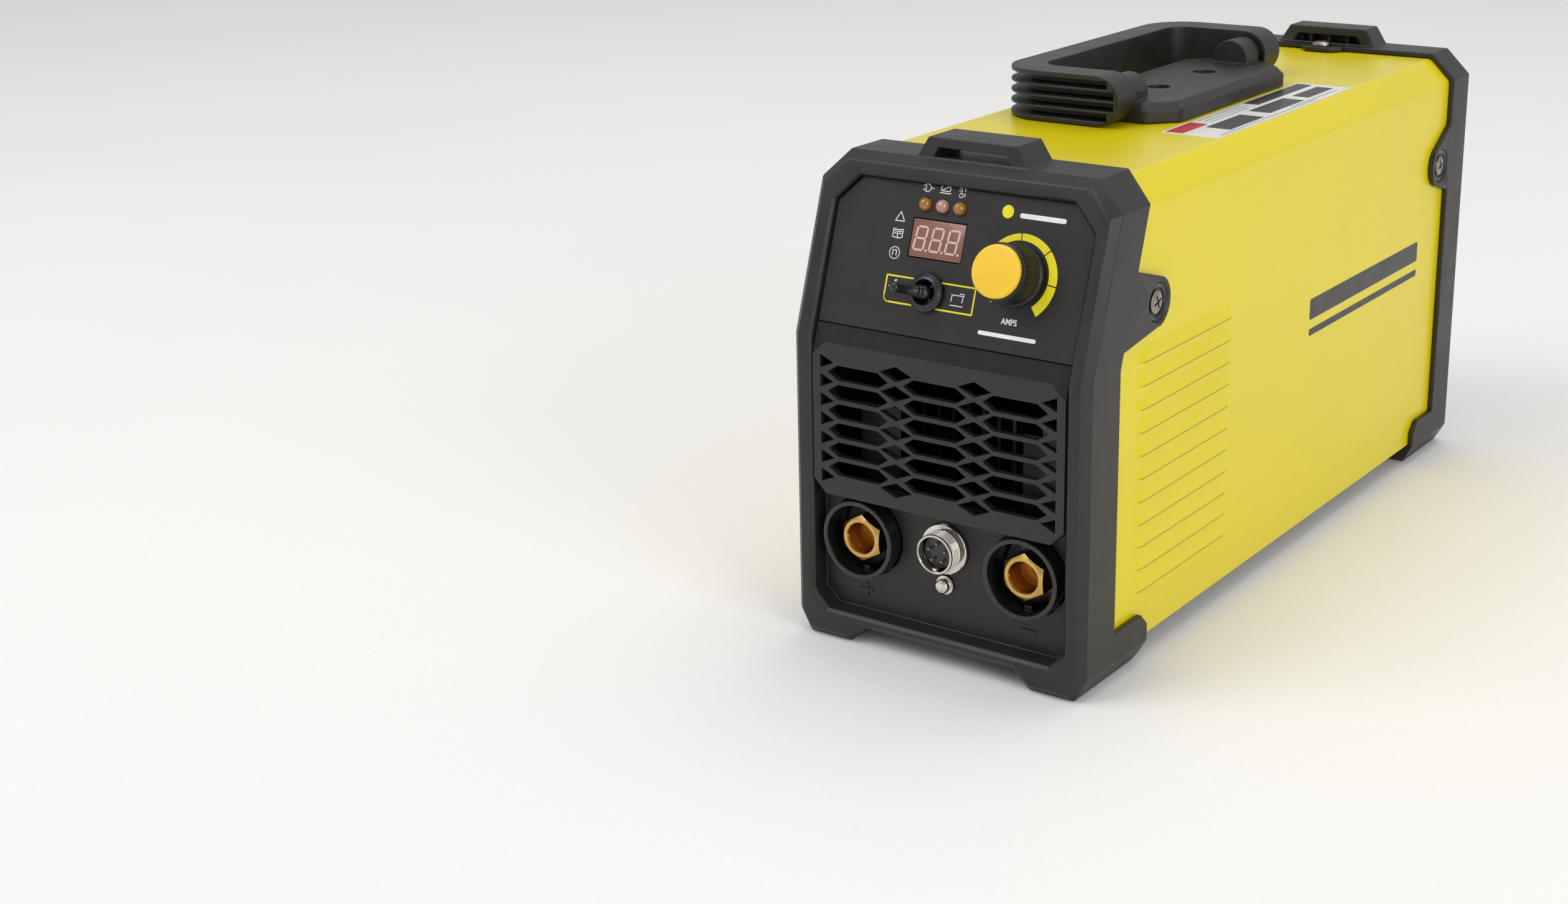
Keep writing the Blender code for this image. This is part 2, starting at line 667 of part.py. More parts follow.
def indicators():
    """Three domed lamps and the digit display with its tinted window."""
    for name, step, finish in led_places():
        dome = [(LED_SIZE * math.cos(math.radians(a)), 0.0006 + LED_SIZE * math.sin(math.radians(a)))
                for a in (0, 25, 50, 72)]
        panel_node(name, [(0, -0.006), (LED_SIZE + 0.0005, -0.006),
                          (LED_SIZE + 0.0005, -FASCIA_PLATE - FIT),
                          (LED_SIZE, -FASCIA_PLATE - FIT), *dome, (0, 0.0006 + LED_SIZE)],
                   (LED_MIDDLE + step * LED_PITCH, LED_UP), finish, SMALL_CIRCLE)
    width, height = DISPLAY_SIZE
    for name, low, high, finish in (("display_window", -0.0017, -0.0003, "window"),
                                    ("display_module", -0.0080, -0.0017 - FIT, "gloss")):
        bm = bmesh.new()
        box(bm, (-width / 2, -height / 2, low), (width / 2, height / 2, high))
        frame = panel_frame(*DISPLAY_MIDDLE)
        bmesh.ops.transform(bm, matrix=frame, verts=bm.verts)
        make_node(name, bm, finish, frame.translation)
    bm = bmesh.new()
    box(bm, (-0.042, 0.012, -0.0165), (0.044, 0.062, -0.0149))
    frame = panel_frame(0, 0)
    bmesh.ops.transform(bm, matrix=frame, verts=bm.verts)
    make_node("control_board", bm, "board", frame.translation)


def current_control():
    """Potentiometer, its shaft, the knob on it and the knob's yellow cap."""
    radius, depth = POT_BODY
    back = -FASCIA_PLATE - FIT
    bore = SHAFT_RADIUS + 0.00007
    panel_node("potentiometer", [(0, back - depth), (radius, back - depth), (radius, back),
                                 (BUSHING_RADIUS, back), (BUSHING_RADIUS, 0.003), (bore, 0.003),
                                 (bore, back - 0.004), (0, back - 0.004)],
               KNOB_MIDDLE, "steel")
    panel_node("potentiometer_shaft", [(0, back - 0.004 + FIT), (SHAFT_RADIUS, back - 0.004 + FIT),
                                       (SHAFT_RADIUS, 0.0125), (0, 0.0125)], KNOB_MIDDLE, "steel")
    seat = KNOB_HEIGHT - CAP_HEIGHT - FIT
    panel_node("amps_knob", [(0, 0.0128), (SHAFT_RADIUS + 0.0001, 0.0128),
                             (SHAFT_RADIUS + 0.0001, 0.005), (BUSHING_RADIUS + 0.0008, 0.005),
                             (BUSHING_RADIUS + 0.0008, 0.0006), (KNOB_RADIUS + 0.0008, 0.0006),
                             (KNOB_RADIUS + 0.0008, 0.0026), (KNOB_RADIUS, 0.0032),
                             (KNOB_RADIUS, seat - 0.0005), (KNOB_RADIUS - 0.0005, seat),
                             (0, seat)], KNOB_MIDDLE, "gloss")
    panel_node("amps_knob_cap", [(0, seat + FIT), (CAP_RADIUS, seat + FIT),
                                 (CAP_RADIUS, KNOB_HEIGHT - CAP_EDGE), (CAP_RADIUS - CAP_EDGE, KNOB_HEIGHT),
                                 (0, KNOB_HEIGHT)], KNOB_MIDDLE, "yellow")


def process_toggle():
    """Toggle switch with a rubber boot ring and a sheathed lever, thrown to the left."""
    bm = bmesh.new()
    frame = panel_frame(*TOGGLE_MIDDLE)
    back = -FASCIA_PLATE - FIT
    box(bm, (-0.0065, -0.004, back - 0.009), (0.0065, 0.004, back))
    bmesh.ops.transform(bm, matrix=frame, verts=bm.verts)
    make_node("toggle_switch_body", bm, "gloss", frame.translation)
    bm = bmesh.new()
    turned_ring(bm, [(TOGGLE_RING, FIT), (TOGGLE_RING, 0.0016), (TOGGLE_RING - 0.001, 0.0026),
                     (TOGGLE_DOME, 0.0030), (TOGGLE_DOME, FIT)], frame, CIRCLE)
    make_node("toggle_boot_ring", bm, "rubber", frame.translation, smooth=True)
    pivot = panel_frame(*TOGGLE_MIDDLE, lift=TOGGLE_PIVOT)
    swung = pivot @ Matrix.Rotation(-TOGGLE_THROW, 4, "Y")
    ball = 0.0029
    bm = bmesh.new()
    turned(bm, [(0, -ball), (ball * 0.7, -ball * 0.7), (ball, 0), (ball * 0.85, ball * 0.75),
                (TOGGLE_LEVER, 0.0048), (TOGGLE_LEVER, TOGGLE_REACH - 0.001),
                (TOGGLE_LEVER - 0.0008, TOGGLE_REACH), (0, TOGGLE_REACH)], swung, SMALL_CIRCLE)
    make_node("toggle_lever", bm, "rubber", pivot.translation, smooth=True)


# ---- sockets ------------------------------------------------------------------------
def hexagonal(across_flats):
    """A radius that follows a hexagon round the axis."""
    def radius(angle):
        turn = math.radians(60)
        return across_flats / 2 / math.cos((angle % turn) - turn / 2)
    return radius


def round_front_node(name, profile, across, height, finish, segments=CIRCLE, ring=False):
    """A turned piece seated on the recess floor, z out of the front."""
    frame = facing_front(across, RECESS_FLOOR, height)
    bm = bmesh.new()
    (turned_ring if ring else turned)(bm, profile, frame, segments)
    return make_node(name, bm, finish, frame.translation, smooth=ring)


def output_sockets():
    """Two twist-lock output sockets: collar, brass insert, bus bar and lock nut."""
    rim = RECESS_DEPTH - COLLAR_SETBACK
    cup_floor = rim - CUP_DEPTH
    flange = -FLOOR_THICKNESS - FIT
    back = cup_floor - 0.004
    tail_bore = INSERT_TAIL + FIT / 2
    inner = COLLAR_RADIUS - COLLAR_WALL
    front = cup_floor + INSERT_STANDOFF + 0.003
    for side, pole in ((-1, "positive"), (1, "negative")):
        across = side * SOCKET_SPACING
        round_front_node(pole + "_socket_collar",
                         [(COLLAR_RADIUS, rim), (COLLAR_RADIUS, flange), (COLLAR_RADIUS + 0.002, flange),
                          (COLLAR_RADIUS + 0.002, back), (tail_bore, back), (tail_bore, cup_floor),
                          (inner, cup_floor), (inner, rim)], across, SOCKET_HEIGHT, "gloss", ring=True)
        hexed = hexagonal(INSERT_HEX)
        tail_end = back - INSERT_TAIL_LENGTH
        round_front_node(pole + "_socket_insert",
                         [(0, cup_floor - 0.001), (INSERT_BORE, cup_floor + 0.001),
                          (INSERT_BORE, front), (INSERT_FACE, front), (hexed, front - 0.0014),
                          (hexed, cup_floor + FIT), (INSERT_TAIL, cup_floor + FIT - 0.00001),
                          (INSERT_TAIL, tail_end), (0, tail_end)], across, SOCKET_HEIGHT, "brass", 36)
        bar_face = back - FIT
        bar_back = bar_face - 0.002
        bm = bmesh.new()
        y_face = RECESS_FLOOR - bar_face
        y_back = RECESS_FLOOR - bar_back
        box(bm, (across - 0.009, y_face, SOCKET_HEIGHT - 0.010),
            (across + 0.009, y_back, SOCKET_HEIGHT + 0.050))
        bar = make_node(pole + "_bus_bar", bm, "copper")
        hole = bmesh.new()
        turned(hole, [(0, bar_back - OVERSHOOT), (tail_bore, bar_back - OVERSHOOT),
                      (tail_bore, bar_face + OVERSHOOT), (0, bar_face + OVERSHOOT)],
               facing_front(across, RECESS_FLOOR, SOCKET_HEIGHT), SMALL_CIRCLE)
        boolean(bar, hole, "DIFFERENCE", "hole")
        nut = bar_back - FIT
        round_front_node(pole + "_socket_nut",
                         [(hexagonal(0.013), nut), (hexagonal(0.013), nut - 0.005),
                          (tail_bore, nut - 0.005), (tail_bore, nut)],
                         across, SOCKET_HEIGHT, "brass", 36, ring=True)


def remote_socket():
    """Five-pole threaded connector for a remote control, and the earth stud under it."""
    back = -FLOOR_THICKNESS - FIT - 0.007
    round_front_node("remote_socket_shell",
                     [(REMOTE_THREAD - 0.0005, REMOTE_LENGTH), (REMOTE_THREAD, REMOTE_LENGTH - 0.0006),
                      (REMOTE_THREAD, 0.0022), (REMOTE_FLANGE, 0.0019), (REMOTE_FLANGE, FIT),
                      (REMOTE_THREAD, FIT), (REMOTE_THREAD, back), (REMOTE_BORE, back),
                      (REMOTE_BORE, REMOTE_LENGTH)], 0, REMOTE_HEIGHT, "nickel", ring=True)
    plug = REMOTE_BORE - FIT / 2
    round_front_node("remote_socket_insert",
                     [(0, back - 0.003), (plug - 0.001, back - 0.003), (plug, back),
                      (plug, 0.0050), (0, 0.0050)], 0, REMOTE_HEIGHT, "gloss")
    nut = -FLOOR_THICKNESS - FIT
    ring = REMOTE_THREAD + FIT / 2
    round_front_node("remote_socket_nut",
                     [(hexagonal(0.020), nut), (hexagonal(0.020), nut - 0.0025),
                      (ring, nut - 0.0025), (ring, nut)], 0, REMOTE_HEIGHT, "nickel", 36, ring=True)
    round_front_node("earth_stud",
                     [(0, -0.012), (SCREW_SHANK, -0.012), (SCREW_SHANK, FIT),
                      (STUD_RADIUS + 0.001, FIT), (STUD_RADIUS + 0.001, 0.0010),
                      (STUD_RADIUS, 0.0012), (STUD_RADIUS, 0.0036), (STUD_RADIUS - 0.0005, 0.0040),
                      (0, 0.0040)], 0, STUD_HEIGHT, "nickel", SMALL_CIRCLE)


# ---- casing -------------------------------------------------------------------------
def cover_shell():
    """The folded sheet cover, with pressed louvres in both sides."""
    def skin(gap):
        return [(HALF - gap, COVER_BOTTOM), (HALF - gap, TOP - TOP_CHAMFER - gap * 0.41421),
                (HALF - TOP_CHAMFER - gap * 0.41421, TOP - gap)]
    outer = mirrored(skin(HALF - COVER_HALF))
    inner = mirrored(skin(HALF - COVER_HALF + SHEET))
    bm = bmesh.new()
    near = FRONT + FRONT_WRAP - COVER_LAP
    far = REAR - REAR_WRAP + COVER_LAP
    prism(bm, outer + inner[::-1], "y", near, far)
    lean_back(bm, highest_y=(near + far) / 2)
    bmesh.ops.triangulate(bm, faces=bm.faces)
    node = make_node("cover_shell", bm, "yellow")
    ridges = bmesh.new()
    start = FRONT + LOUVRE_START
    for side in (-1, 1):
        for row in range(LOUVRE_COUNT):
            low = LOUVRE_FIRST + row * LOUVRE_PITCH
            sunk = COVER_HALF - SHEET / 2
            foot = (side * sunk, low)
            crest = (side * (COVER_HALF + LOUVRE_RISE), low + 0.0004)
            head = (side * sunk, low + LOUVRE_PITCH * 0.72)
            prism(ridges, [foot, crest, head], "y", start, start + LOUVRE_LENGTH)
    boolean(node, ridges, "UNION", "louvres")
    holes = bmesh.new()
    for side in (-1, 1):
        for y in (FRONT + FRONT_SCREW_BACK, REAR - REAR_SCREW_IN):
            turned(holes, [(0, -0.003), (SCREW_SHANK + FIT, -0.003), (SCREW_SHANK + FIT, 0.003),
                           (0, 0.003)], facing_side(side, side * COVER_HALF, y, SCREW_HEIGHT), 12)
    for y in (*plate_screws(), TOP_SCREW):
        turned(holes, [(0, COVER_TOP - 0.004), (SCREW_SHANK + FIT, COVER_TOP - 0.004),
                       (SCREW_SHANK + FIT, COVER_TOP + 0.004), (0, COVER_TOP + 0.004)],
               Matrix.Translation((0, y, 0)), 12)
    boolean(node, holes, "DIFFERENCE", "screw_holes")
    return node


def base_tray():
    """The folded sheet chassis that everything inside stands on."""
    half = COVER_HALF - SHEET - FIT
    section = mirrored([(half, TRAY_BOTTOM), (half, TRAY_BOTTOM + 0.018),
                        (half - SHEET, TRAY_BOTTOM + 0.018), (half - SHEET, TRAY_BOTTOM + SHEET)])
    bm = bmesh.new()
    prism(bm, section, "y", RECESS_FLOOR + FLOOR_THICKNESS + 0.001, REAR_FLOOR - 0.001)
    return make_node("base_tray", bm, "steel")


def rear_bezel():
    """The black rear moulding: rails, recessed wall with the fan vents, feet and ears."""
    outline = body_outline()
    bm = bmesh.new()
    loft(bm, [[(a, REAR - REAR_WRAP, b) for a, b in outline],
              [(a, REAR - EDGE_BEVEL, b) for a, b in outline],
              [(a, REAR, b) for a, b in inset(outline, EDGE_BEVEL)]])
    node = make_node("rear_bezel", bm, "moulding")

    hollow = bmesh.new()
    prism(hollow, hollow_outline(WALL), "y", REAR - REAR_WRAP - OVERSHOOT, REAR_FLOOR)
    boolean(node, hollow, "DIFFERENCE", "hollow")

    additions = bmesh.new()
    edge = REAR - REAR_WRAP + OVERSHOOT
    for side in (-1, 1):
        foot_and_tongue(additions, side, edge, REAR - REAR_TONGUE)
        prism(additions, ear_outline(edge, REAR - REAR_SCREW_IN, -1), "x",
              side * (HALF - WALL), side * HALF)
    tab_back = REAR - EDGE_BEVEL - REAR_TAB_INSET
    strap_tab(additions, tab_back - REAR_TAB_DEPTH, tab_back)
    top_ear = [(-0.010, edge), (0.010, edge), (0.010, TOP_SCREW), (0.006, TOP_SCREW - 0.005),
               (-0.006, TOP_SCREW - 0.005), (-0.010, TOP_SCREW)]
    prism(additions, top_ear, "z", TOP - WALL, TOP)
    boolean(node, additions, "UNION", "additions")

    cuts = bmesh.new()
    full = opening_outline(RECESS_BOTTOM, TOP - RAIL_WIDTH, OPENING_CORNER, OPENING_CORNER)
    loft(cuts, [[(a, REAR - REAR_RECESS, b) for a, b in full],
                [(a, REAR + OVERSHOOT, b) for a, b in full]])
    boolean(node, cuts, "DIFFERENCE", "recess")

    vents = bmesh.new()
    near, far = REAR_FLOOR - OVERSHOOT, REAR - REAR_RECESS + OVERSHOOT
    rows, pitch, slot = VENT_ROWS, VENT_PITCH, VENT_SLOT
    for row in range(rows):
        up = (row - (rows - 1) / 2) * pitch
        reach = math.sqrt(max((FAN_SIZE * 0.47) ** 2 - (abs(up) + slot / 2) ** 2, 0.00001))
        for side in (-1, 1):
            prism(vents, [(side * VENT_MIDDLE, FAN_HEIGHT + up - slot / 2),
                          (side * reach, FAN_HEIGHT + up - slot / 2),
                          (side * reach, FAN_HEIGHT + up + slot / 2),
                          (side * VENT_MIDDLE, FAN_HEIGHT + up + slot / 2)], "y", near, far)
    width, height = SWITCH_SIZE
    across, up = SWITCH_MIDDLE
    box(vents, (across - width / 2 - FIT, near, up - height / 2 - FIT),
        (across + width / 2 + FIT, far, up + height / 2 + FIT))
    turned(vents, [(0, -0.008), (GLAND_RADIUS + FIT, -0.008), (GLAND_RADIUS + FIT, 0.008), (0, 0.008)],
           facing_rear(GLAND_MIDDLE[0], REAR_FLOOR, GLAND_MIDDLE[1]), SMALL_CIRCLE)
    screw_seats(vents, REAR - REAR_SCREW_IN)
    strap_slot(vents, tab_back - REAR_TAB_DEPTH, tab_back)
    turned(vents, [(0, TOP - 0.006), (SCREW_SHANK + FIT, TOP - 0.006), (SCREW_SHANK + FIT, TOP + 0.006),
                   (0, TOP + 0.006)], Matrix.Translation((0, TOP_SCREW, 0)), 12)
    boolean(node, vents, "DIFFERENCE", "vents")
    return node


def screw(name, frame, head=SCREW_HEAD, head_height=COUNTERBORE_DEPTH, length=0.010):
    """A pan-head screw with its head's underside at the frame's origin."""
    bm = bmesh.new()
    turned(bm, [(0, -length), (SCREW_SHANK, -length), (SCREW_SHANK, FIT / 2), (head, FIT / 2),
                (head, head_height * 0.55), (head * 0.75, head_height * 0.9), (0, head_height)],
           frame, SMALL_CIRCLE)
    return make_node(name, bm, "nickel", frame.translation)


def case_screws():
    """Four side screws and the one on top at the rear."""
    seat = HALF - COUNTERBORE_DEPTH
    for end, y in (("front", FRONT + FRONT_SCREW_BACK), ("rear", REAR - REAR_SCREW_IN)):
        for side, hand in ((-1, "left"), (1, "right")):
            screw("%s_%s_screw" % (end, hand), facing_side(side, side * seat, y, SCREW_HEIGHT))
    screw("top_rear_screw", Matrix.Translation((0, TOP_SCREW, TOP)), head_height=0.0024)


# ---- handle -------------------------------------------------------------------------
def handle_outline(grow, hub_end):
    """The folded handle's ring seen from above; grow offsets its outer side."""
    far = -HANDLE_REACH - grow
    y0, y1 = HANDLE_FRONT - grow, HANDLE_BACK + grow
    radius = HANDLE_CORNER + grow
    outer = ([(hub_end, y0)] + arc((far + radius, y0 + radius), radius, 270, 180, 12)
             + arc((far + radius, y1 - radius), radius, 180, 90, 12) + [(hub_end, y1)])
    return outer


def handle_window(shift):
    """The finger window's side of the ring, moved outwards by shift."""
    far = -HANDLE_REACH + HANDLE_BAR - shift
    y0, y1 = HANDLE_FRONT + LEG_THICKNESS - shift, HANDLE_BACK - LEG_THICKNESS + shift
    radius = 0.009
    return (arc((far + radius, y1 - radius), radius, 90, 180, 8)
            + arc((far + radius, y0 + radius), radius, 180, 270, 8))


def carry_handle():
    """The swing handle, drawn folded flat; its pivot runs along Y through both hubs."""
    low, high = PIVOT_HEIGHT - HUB_RADIUS, PIVOT_HEIGHT + HUB_RADIUS
    bm = bmesh.new()
    window = handle_window(0)
    outline = handle_outline(0, 0.0) + [(0.0, HANDLE_BACK - LEG_THICKNESS)]
    outline += window + [(0.0, HANDLE_FRONT + LEG_THICKNESS)]
    prism(bm, outline, "z", low, high)
    node = make_node("carry_handle", bm, "moulding", (0, 0, PIVOT_HEIGHT))
    hubs = bmesh.new()
    for y in (HANDLE_FRONT, HANDLE_BACK - LEG_THICKNESS):
        frame = facing_rear(0, y, PIVOT_HEIGHT)
        turned(hubs, [(0, 0), (HUB_RADIUS, 0), (HUB_RADIUS, LEG_THICKNESS), (0, LEG_THICKNESS)], frame)
    boolean(node, hubs, "UNION", "hubs")
    slots = bmesh.new()
    free = 2 * HUB_RADIUS - 2 * FLANGE - FIN_COUNT * FIN_THICKNESS
    slot = free / (FIN_COUNT + 1)
    for i in range(FIN_COUNT + 1):
        bottom = low + FLANGE + i * (slot + FIN_THICKNESS)
        middle = abs(bottom + slot / 2 - PIVOT_HEIGHT)
        end = math.sqrt((HUB_RADIUS - FLANGE) ** 2 - middle ** 2)
        inner = handle_outline(-CHANNEL_DEPTH, end)
        prism(slots, handle_outline(0.003, end) + inner[::-1], "z", bottom, bottom + slot)
    boolean(node, slots, "DIFFERENCE", "channels")
    bores = bmesh.new()
    for y, way in ((HANDLE_FRONT + LEG_THICKNESS, -1), (HANDLE_BACK - LEG_THICKNESS, 1)):
        frame = facing_rear(0, y, PIVOT_HEIGHT)
        depth = way * (PIN_IN_HANDLE + FIT)
        span = sorted((depth, -way * OVERSHOOT))
        turned(bores, [(0, span[0]), (PIVOT_RADIUS + 0.00008, span[0]),
                       (PIVOT_RADIUS + 0.00008, span[1]), (0, span[1])], frame)
    boolean(node, bores, "DIFFERENCE", "pin_bores")


def plate_screws():
    """Where the two screws of the handle's base plate stand along the machine."""
    middle = (HANDLE_FRONT + HANDLE_BACK) / 2
    return middle - PLATE_SCREW_GAP / 2, middle + PLATE_SCREW_GAP / 2


def handle_base():
    """The bevelled base plate with two pivot bosses, its pins and its screws."""
    y0 = HANDLE_FRONT + LEG_THICKNESS + FIT
    y1 = HANDLE_BACK - LEG_THICKNESS - FIT
    half, cut = PLATE_HALF_WIDTH, PLATE_CORNER
    outline = [(-half + cut, y0), (half - cut, y0), (half, y0 + cut), (half, y1 - cut),
               (half - cut, y1), (-half + cut, y1), (-half, y1 - cut), (-half, y0 + cut)]
    top = PLATE_BASE + PLATE_HEIGHT
    bm = bmesh.new()
    loft(bm, [[(a, b, PLATE_BASE) for a, b in outline], [(a, b, top - PLATE_BEVEL) for a, b in outline],
              [(a, b, top) for a, b in inset(outline, PLATE_BEVEL)]])
    node = make_node("handle_base", bm, "moulding")
    bosses = bmesh.new()
    for y, way in ((y0, 1), (y1, -1)):
        section = arc((0, PIVOT_HEIGHT), BOSS_RADIUS, 0, 180, 18)
        section += [(-BOSS_RADIUS, top - 0.004), (BOSS_RADIUS, top - 0.004)]
        prism(bosses, section, "y", y, y + way * BOSS_LENGTH)
    boolean(node, bosses, "UNION", "bosses")
    holes = bmesh.new()
    for y, way in ((y0, 1), (y1, -1)):
        span = sorted((way * (PIN_IN_BASE + FIT), -way * OVERSHOOT))
        turned(holes, [(0, span[0]), (PIVOT_RADIUS + FIT / 2, span[0]),
                       (PIVOT_RADIUS + FIT / 2, span[1]), (0, span[1])], facing_rear(0, y, PIVOT_HEIGHT))
    for y in plate_screws():
        turned(holes, [(0, PLATE_BASE - OVERSHOOT), (SCREW_SHANK + FIT, PLATE_BASE - OVERSHOOT),
                       (SCREW_SHANK + FIT, PLATE_BASE + PLATE_FLOOR),
                       (SCREW_HEAD + FIT, PLATE_BASE + PLATE_FLOOR),
                       (SCREW_HEAD + FIT, top + OVERSHOOT), (0, top + OVERSHOOT)],
               Matrix.Translation((0, y, 0)), SMALL_CIRCLE)
    boolean(node, holes, "DIFFERENCE", "holes")
    for end, y, way in (("front", y0, 1), ("rear", y1, -1)):
        span = sorted((way * PIN_IN_BASE, -way * (PIN_IN_HANDLE + FIT)))
        bm = bmesh.new()
        turned(bm, [(0, span[0]), (PIVOT_RADIUS, span[0]), (PIVOT_RADIUS, span[1]), (0, span[1])],
               facing_rear(0, y, PIVOT_HEIGHT))
        make_node("handle_pin_" + end, bm, "steel", (0, y, PIVOT_HEIGHT))
    for end, y in zip(("front", "rear"), plate_screws()):
        screw("handle_screw_" + end, Matrix.Translation((0, y, PLATE_BASE + PLATE_FLOOR)),
              head_height=0.0026, length=0.014)


# ---- rear and inside ----------------------------------------------------------------
def cooling_fan():
    """Fan frame with its motor spider, and the bladed rotor on the spider's shaft."""
    back = REAR_FLOOR - FIT
    front = back - FAN_DEPTH
    half = FAN_SIZE / 2
    bm = bmesh.new()
    box(bm, (-half, front, FAN_HEIGHT - half), (half, back, FAN_HEIGHT + half))
    frame_node = make_node("fan_frame", bm, "gloss")
    tunnel = bmesh.new()
    turned(tunnel, [(0, -FAN_DEPTH - OVERSHOOT), (half - 0.002, -FAN_DEPTH - OVERSHOOT),
                    (half - 0.002, OVERSHOOT), (0, OVERSHOOT)], facing_rear(0, back, FAN_HEIGHT))
    boolean(frame_node, tunnel, "DIFFERENCE", "tunnel")
    spider = bmesh.new()
    plate = 0.003
    turned(spider, [(0, -0.014), (FAN_SHAFT, -0.014), (FAN_SHAFT, -plate),
                    (FAN_HUB, -plate), (FAN_HUB, 0), (0, 0)], facing_rear(0, back, FAN_HEIGHT))
    boolean(frame_node, spider, "UNION", "motor_plate")
    arms = bmesh.new()
    for turn in range(4):
        arm = bmesh.new()
        box(arm, (FAN_HUB - 0.004, -0.002, -plate + 0.0002), (half - 0.0005, 0.002, -0.0002))
        spin = facing_rear(0, back, FAN_HEIGHT) @ Matrix.Rotation(math.pi / 4 + turn * math.pi / 2, 4, "Z")
        bmesh.ops.transform(arm, matrix=spin, verts=arm.verts)
        merge(arms, arm)
    boolean(frame_node, arms, "UNION", "arms")
    hub_back = back - plate - 0.0006
    bm = bmesh.new()
    axis = facing_rear(0, hub_back, FAN_HEIGHT)
    bore = FAN_SHAFT + 0.00008
    turned(bm, [(0, -0.015), (FAN_HUB - 0.001, -0.015), (FAN_HUB, -0.014), (FAN_HUB, 0), (bore, 0),
                (bore, -0.012), (0, -0.012)], axis)
    rotor = make_node("fan_rotor", bm, "gloss", (0, hub_back, FAN_HEIGHT))
    blades = bmesh.new()
    for turn in range(FAN_BLADES):
        blade = bmesh.new()
        tip = half - 0.0045
        rings = []
        for radius, pitch in ((FAN_HUB - 0.003, 48), (tip, 30)):
            rise = math.tan(math.radians(pitch)) * 0.006
            rings.append([(radius, -0.006, -0.0075 - rise), (radius, 0.006, -0.0075 + rise),
                          (radius, 0.006, -0.0063 + rise), (radius, -0.006, -0.0063 - rise)])
        loft(blade, rings)
        spin = axis @ Matrix.Rotation(2 * math.pi * turn / FAN_BLADES, 4, "Z")
        bmesh.ops.transform(blade, matrix=spin, verts=blade.verts)
        merge(blades, blade)
    boolean(rotor, blades, "UNION", "blades")


def power_switch():
    """Rocker switch in the rear wall: body with a pocket, and the rocker in it."""
    width, height = SWITCH_SIZE
    across, up = SWITCH_MIDDLE
    face = REAR - REAR_RECESS
    bm = bmesh.new()
    box(bm, (across - width / 2, REAR_FLOOR - 0.012, up - height / 2),
        (across + width / 2, face + 0.001, up + height / 2))
    body = make_node("power_switch_body", bm, "gloss")
    flange = bmesh.new()
    box(flange, (across - width / 2 - 0.0015, face + FIT, up - height / 2 - 0.0015),
        (across + width / 2 + 0.0015, face + 0.0022, up + height / 2 + 0.0015))
    boolean(body, flange, "UNION", "flange")
    pocket = bmesh.new()
    box(pocket, (across - width / 2 + 0.002, REAR_FLOOR - 0.006, up - height / 2 + 0.002),
        (across + width / 2 - 0.002, face + 0.006, up + height / 2 - 0.002))
    boolean(body, pocket, "DIFFERENCE", "pocket")
    pivot = (across, face - 0.0005, up)
    reach = height / 2 - 0.0030
    bm = bmesh.new()
    section = [(-0.0026, -reach * 0.9), (-0.0042, 0), (-0.0026, reach * 0.9), (0.0028, reach),
               (0.0014, 0), (0.0028, -reach)]
    prism(bm, section, "x", across - width / 2 + 0.0024, across + width / 2 - 0.0024)
    bmesh.ops.rotate(bm, verts=bm.verts, cent=(across, 0, 0),
                     matrix=Matrix.Rotation(ROCKER_THROW / 2, 3, "X"))
    bmesh.ops.translate(bm, vec=(0, pivot[1], pivot[2]), verts=bm.verts)
    make_node("power_rocker", bm, "gloss", pivot)


def mains_gland():
    """Strain-relief gland of the mains cable, with its lock nut inside."""
    across, up = GLAND_MIDDLE
    frame = facing_rear(across, REAR - REAR_RECESS, up)
    wall = FLOOR_THICKNESS
    reach = REAR_RECESS + GLAND_REACH
    bm = bmesh.new()
    turned_ring(bm, [(GLAND_RADIUS, -wall - 0.010), (GLAND_RADIUS, FIT), (GLAND_RADIUS + 0.0035, FIT),
                     (GLAND_RADIUS + 0.0035, 0.006), (GLAND_RADIUS + 0.001, 0.007),
                     (GLAND_RADIUS - 0.0005, reach - 0.003), (GLAND_RADIUS - 0.002, reach),
                     (GLAND_BORE, reach), (GLAND_BORE, -wall - 0.010)], frame)
    make_node("mains_cable_gland", bm, "rubber", frame.translation, smooth=True)
    nut = -wall - FIT
    bm = bmesh.new()
    turned_ring(bm, [(hexagonal(0.022), nut), (hexagonal(0.022), nut - 0.005),
                     (GLAND_RADIUS + FIT / 2, nut - 0.005), (GLAND_RADIUS + FIT / 2, nut)], frame, 36)
    make_node("mains_gland_nut", bm, "gloss", frame.translation)


def heatsink(name, left, right, near, far, low, high):
    """An extruded heatsink: a base under a row of fins that run front to back."""
    fins, fin, base = 7, 0.0016, 0.006
    pitch = (right - left - fin) / (fins - 1)
    outline = [(left, low), (right, low)]
    for i in reversed(range(fins)):
        start = left + i * pitch
        outline += [(start + fin, high), (start, high)]
        if i:
            outline += [(start, low + base), (start - pitch + fin, low + base)]
    bm = bmesh.new()
    prism(bm, outline, "y", near, far)
    make_node(name, bm, "aluminium")


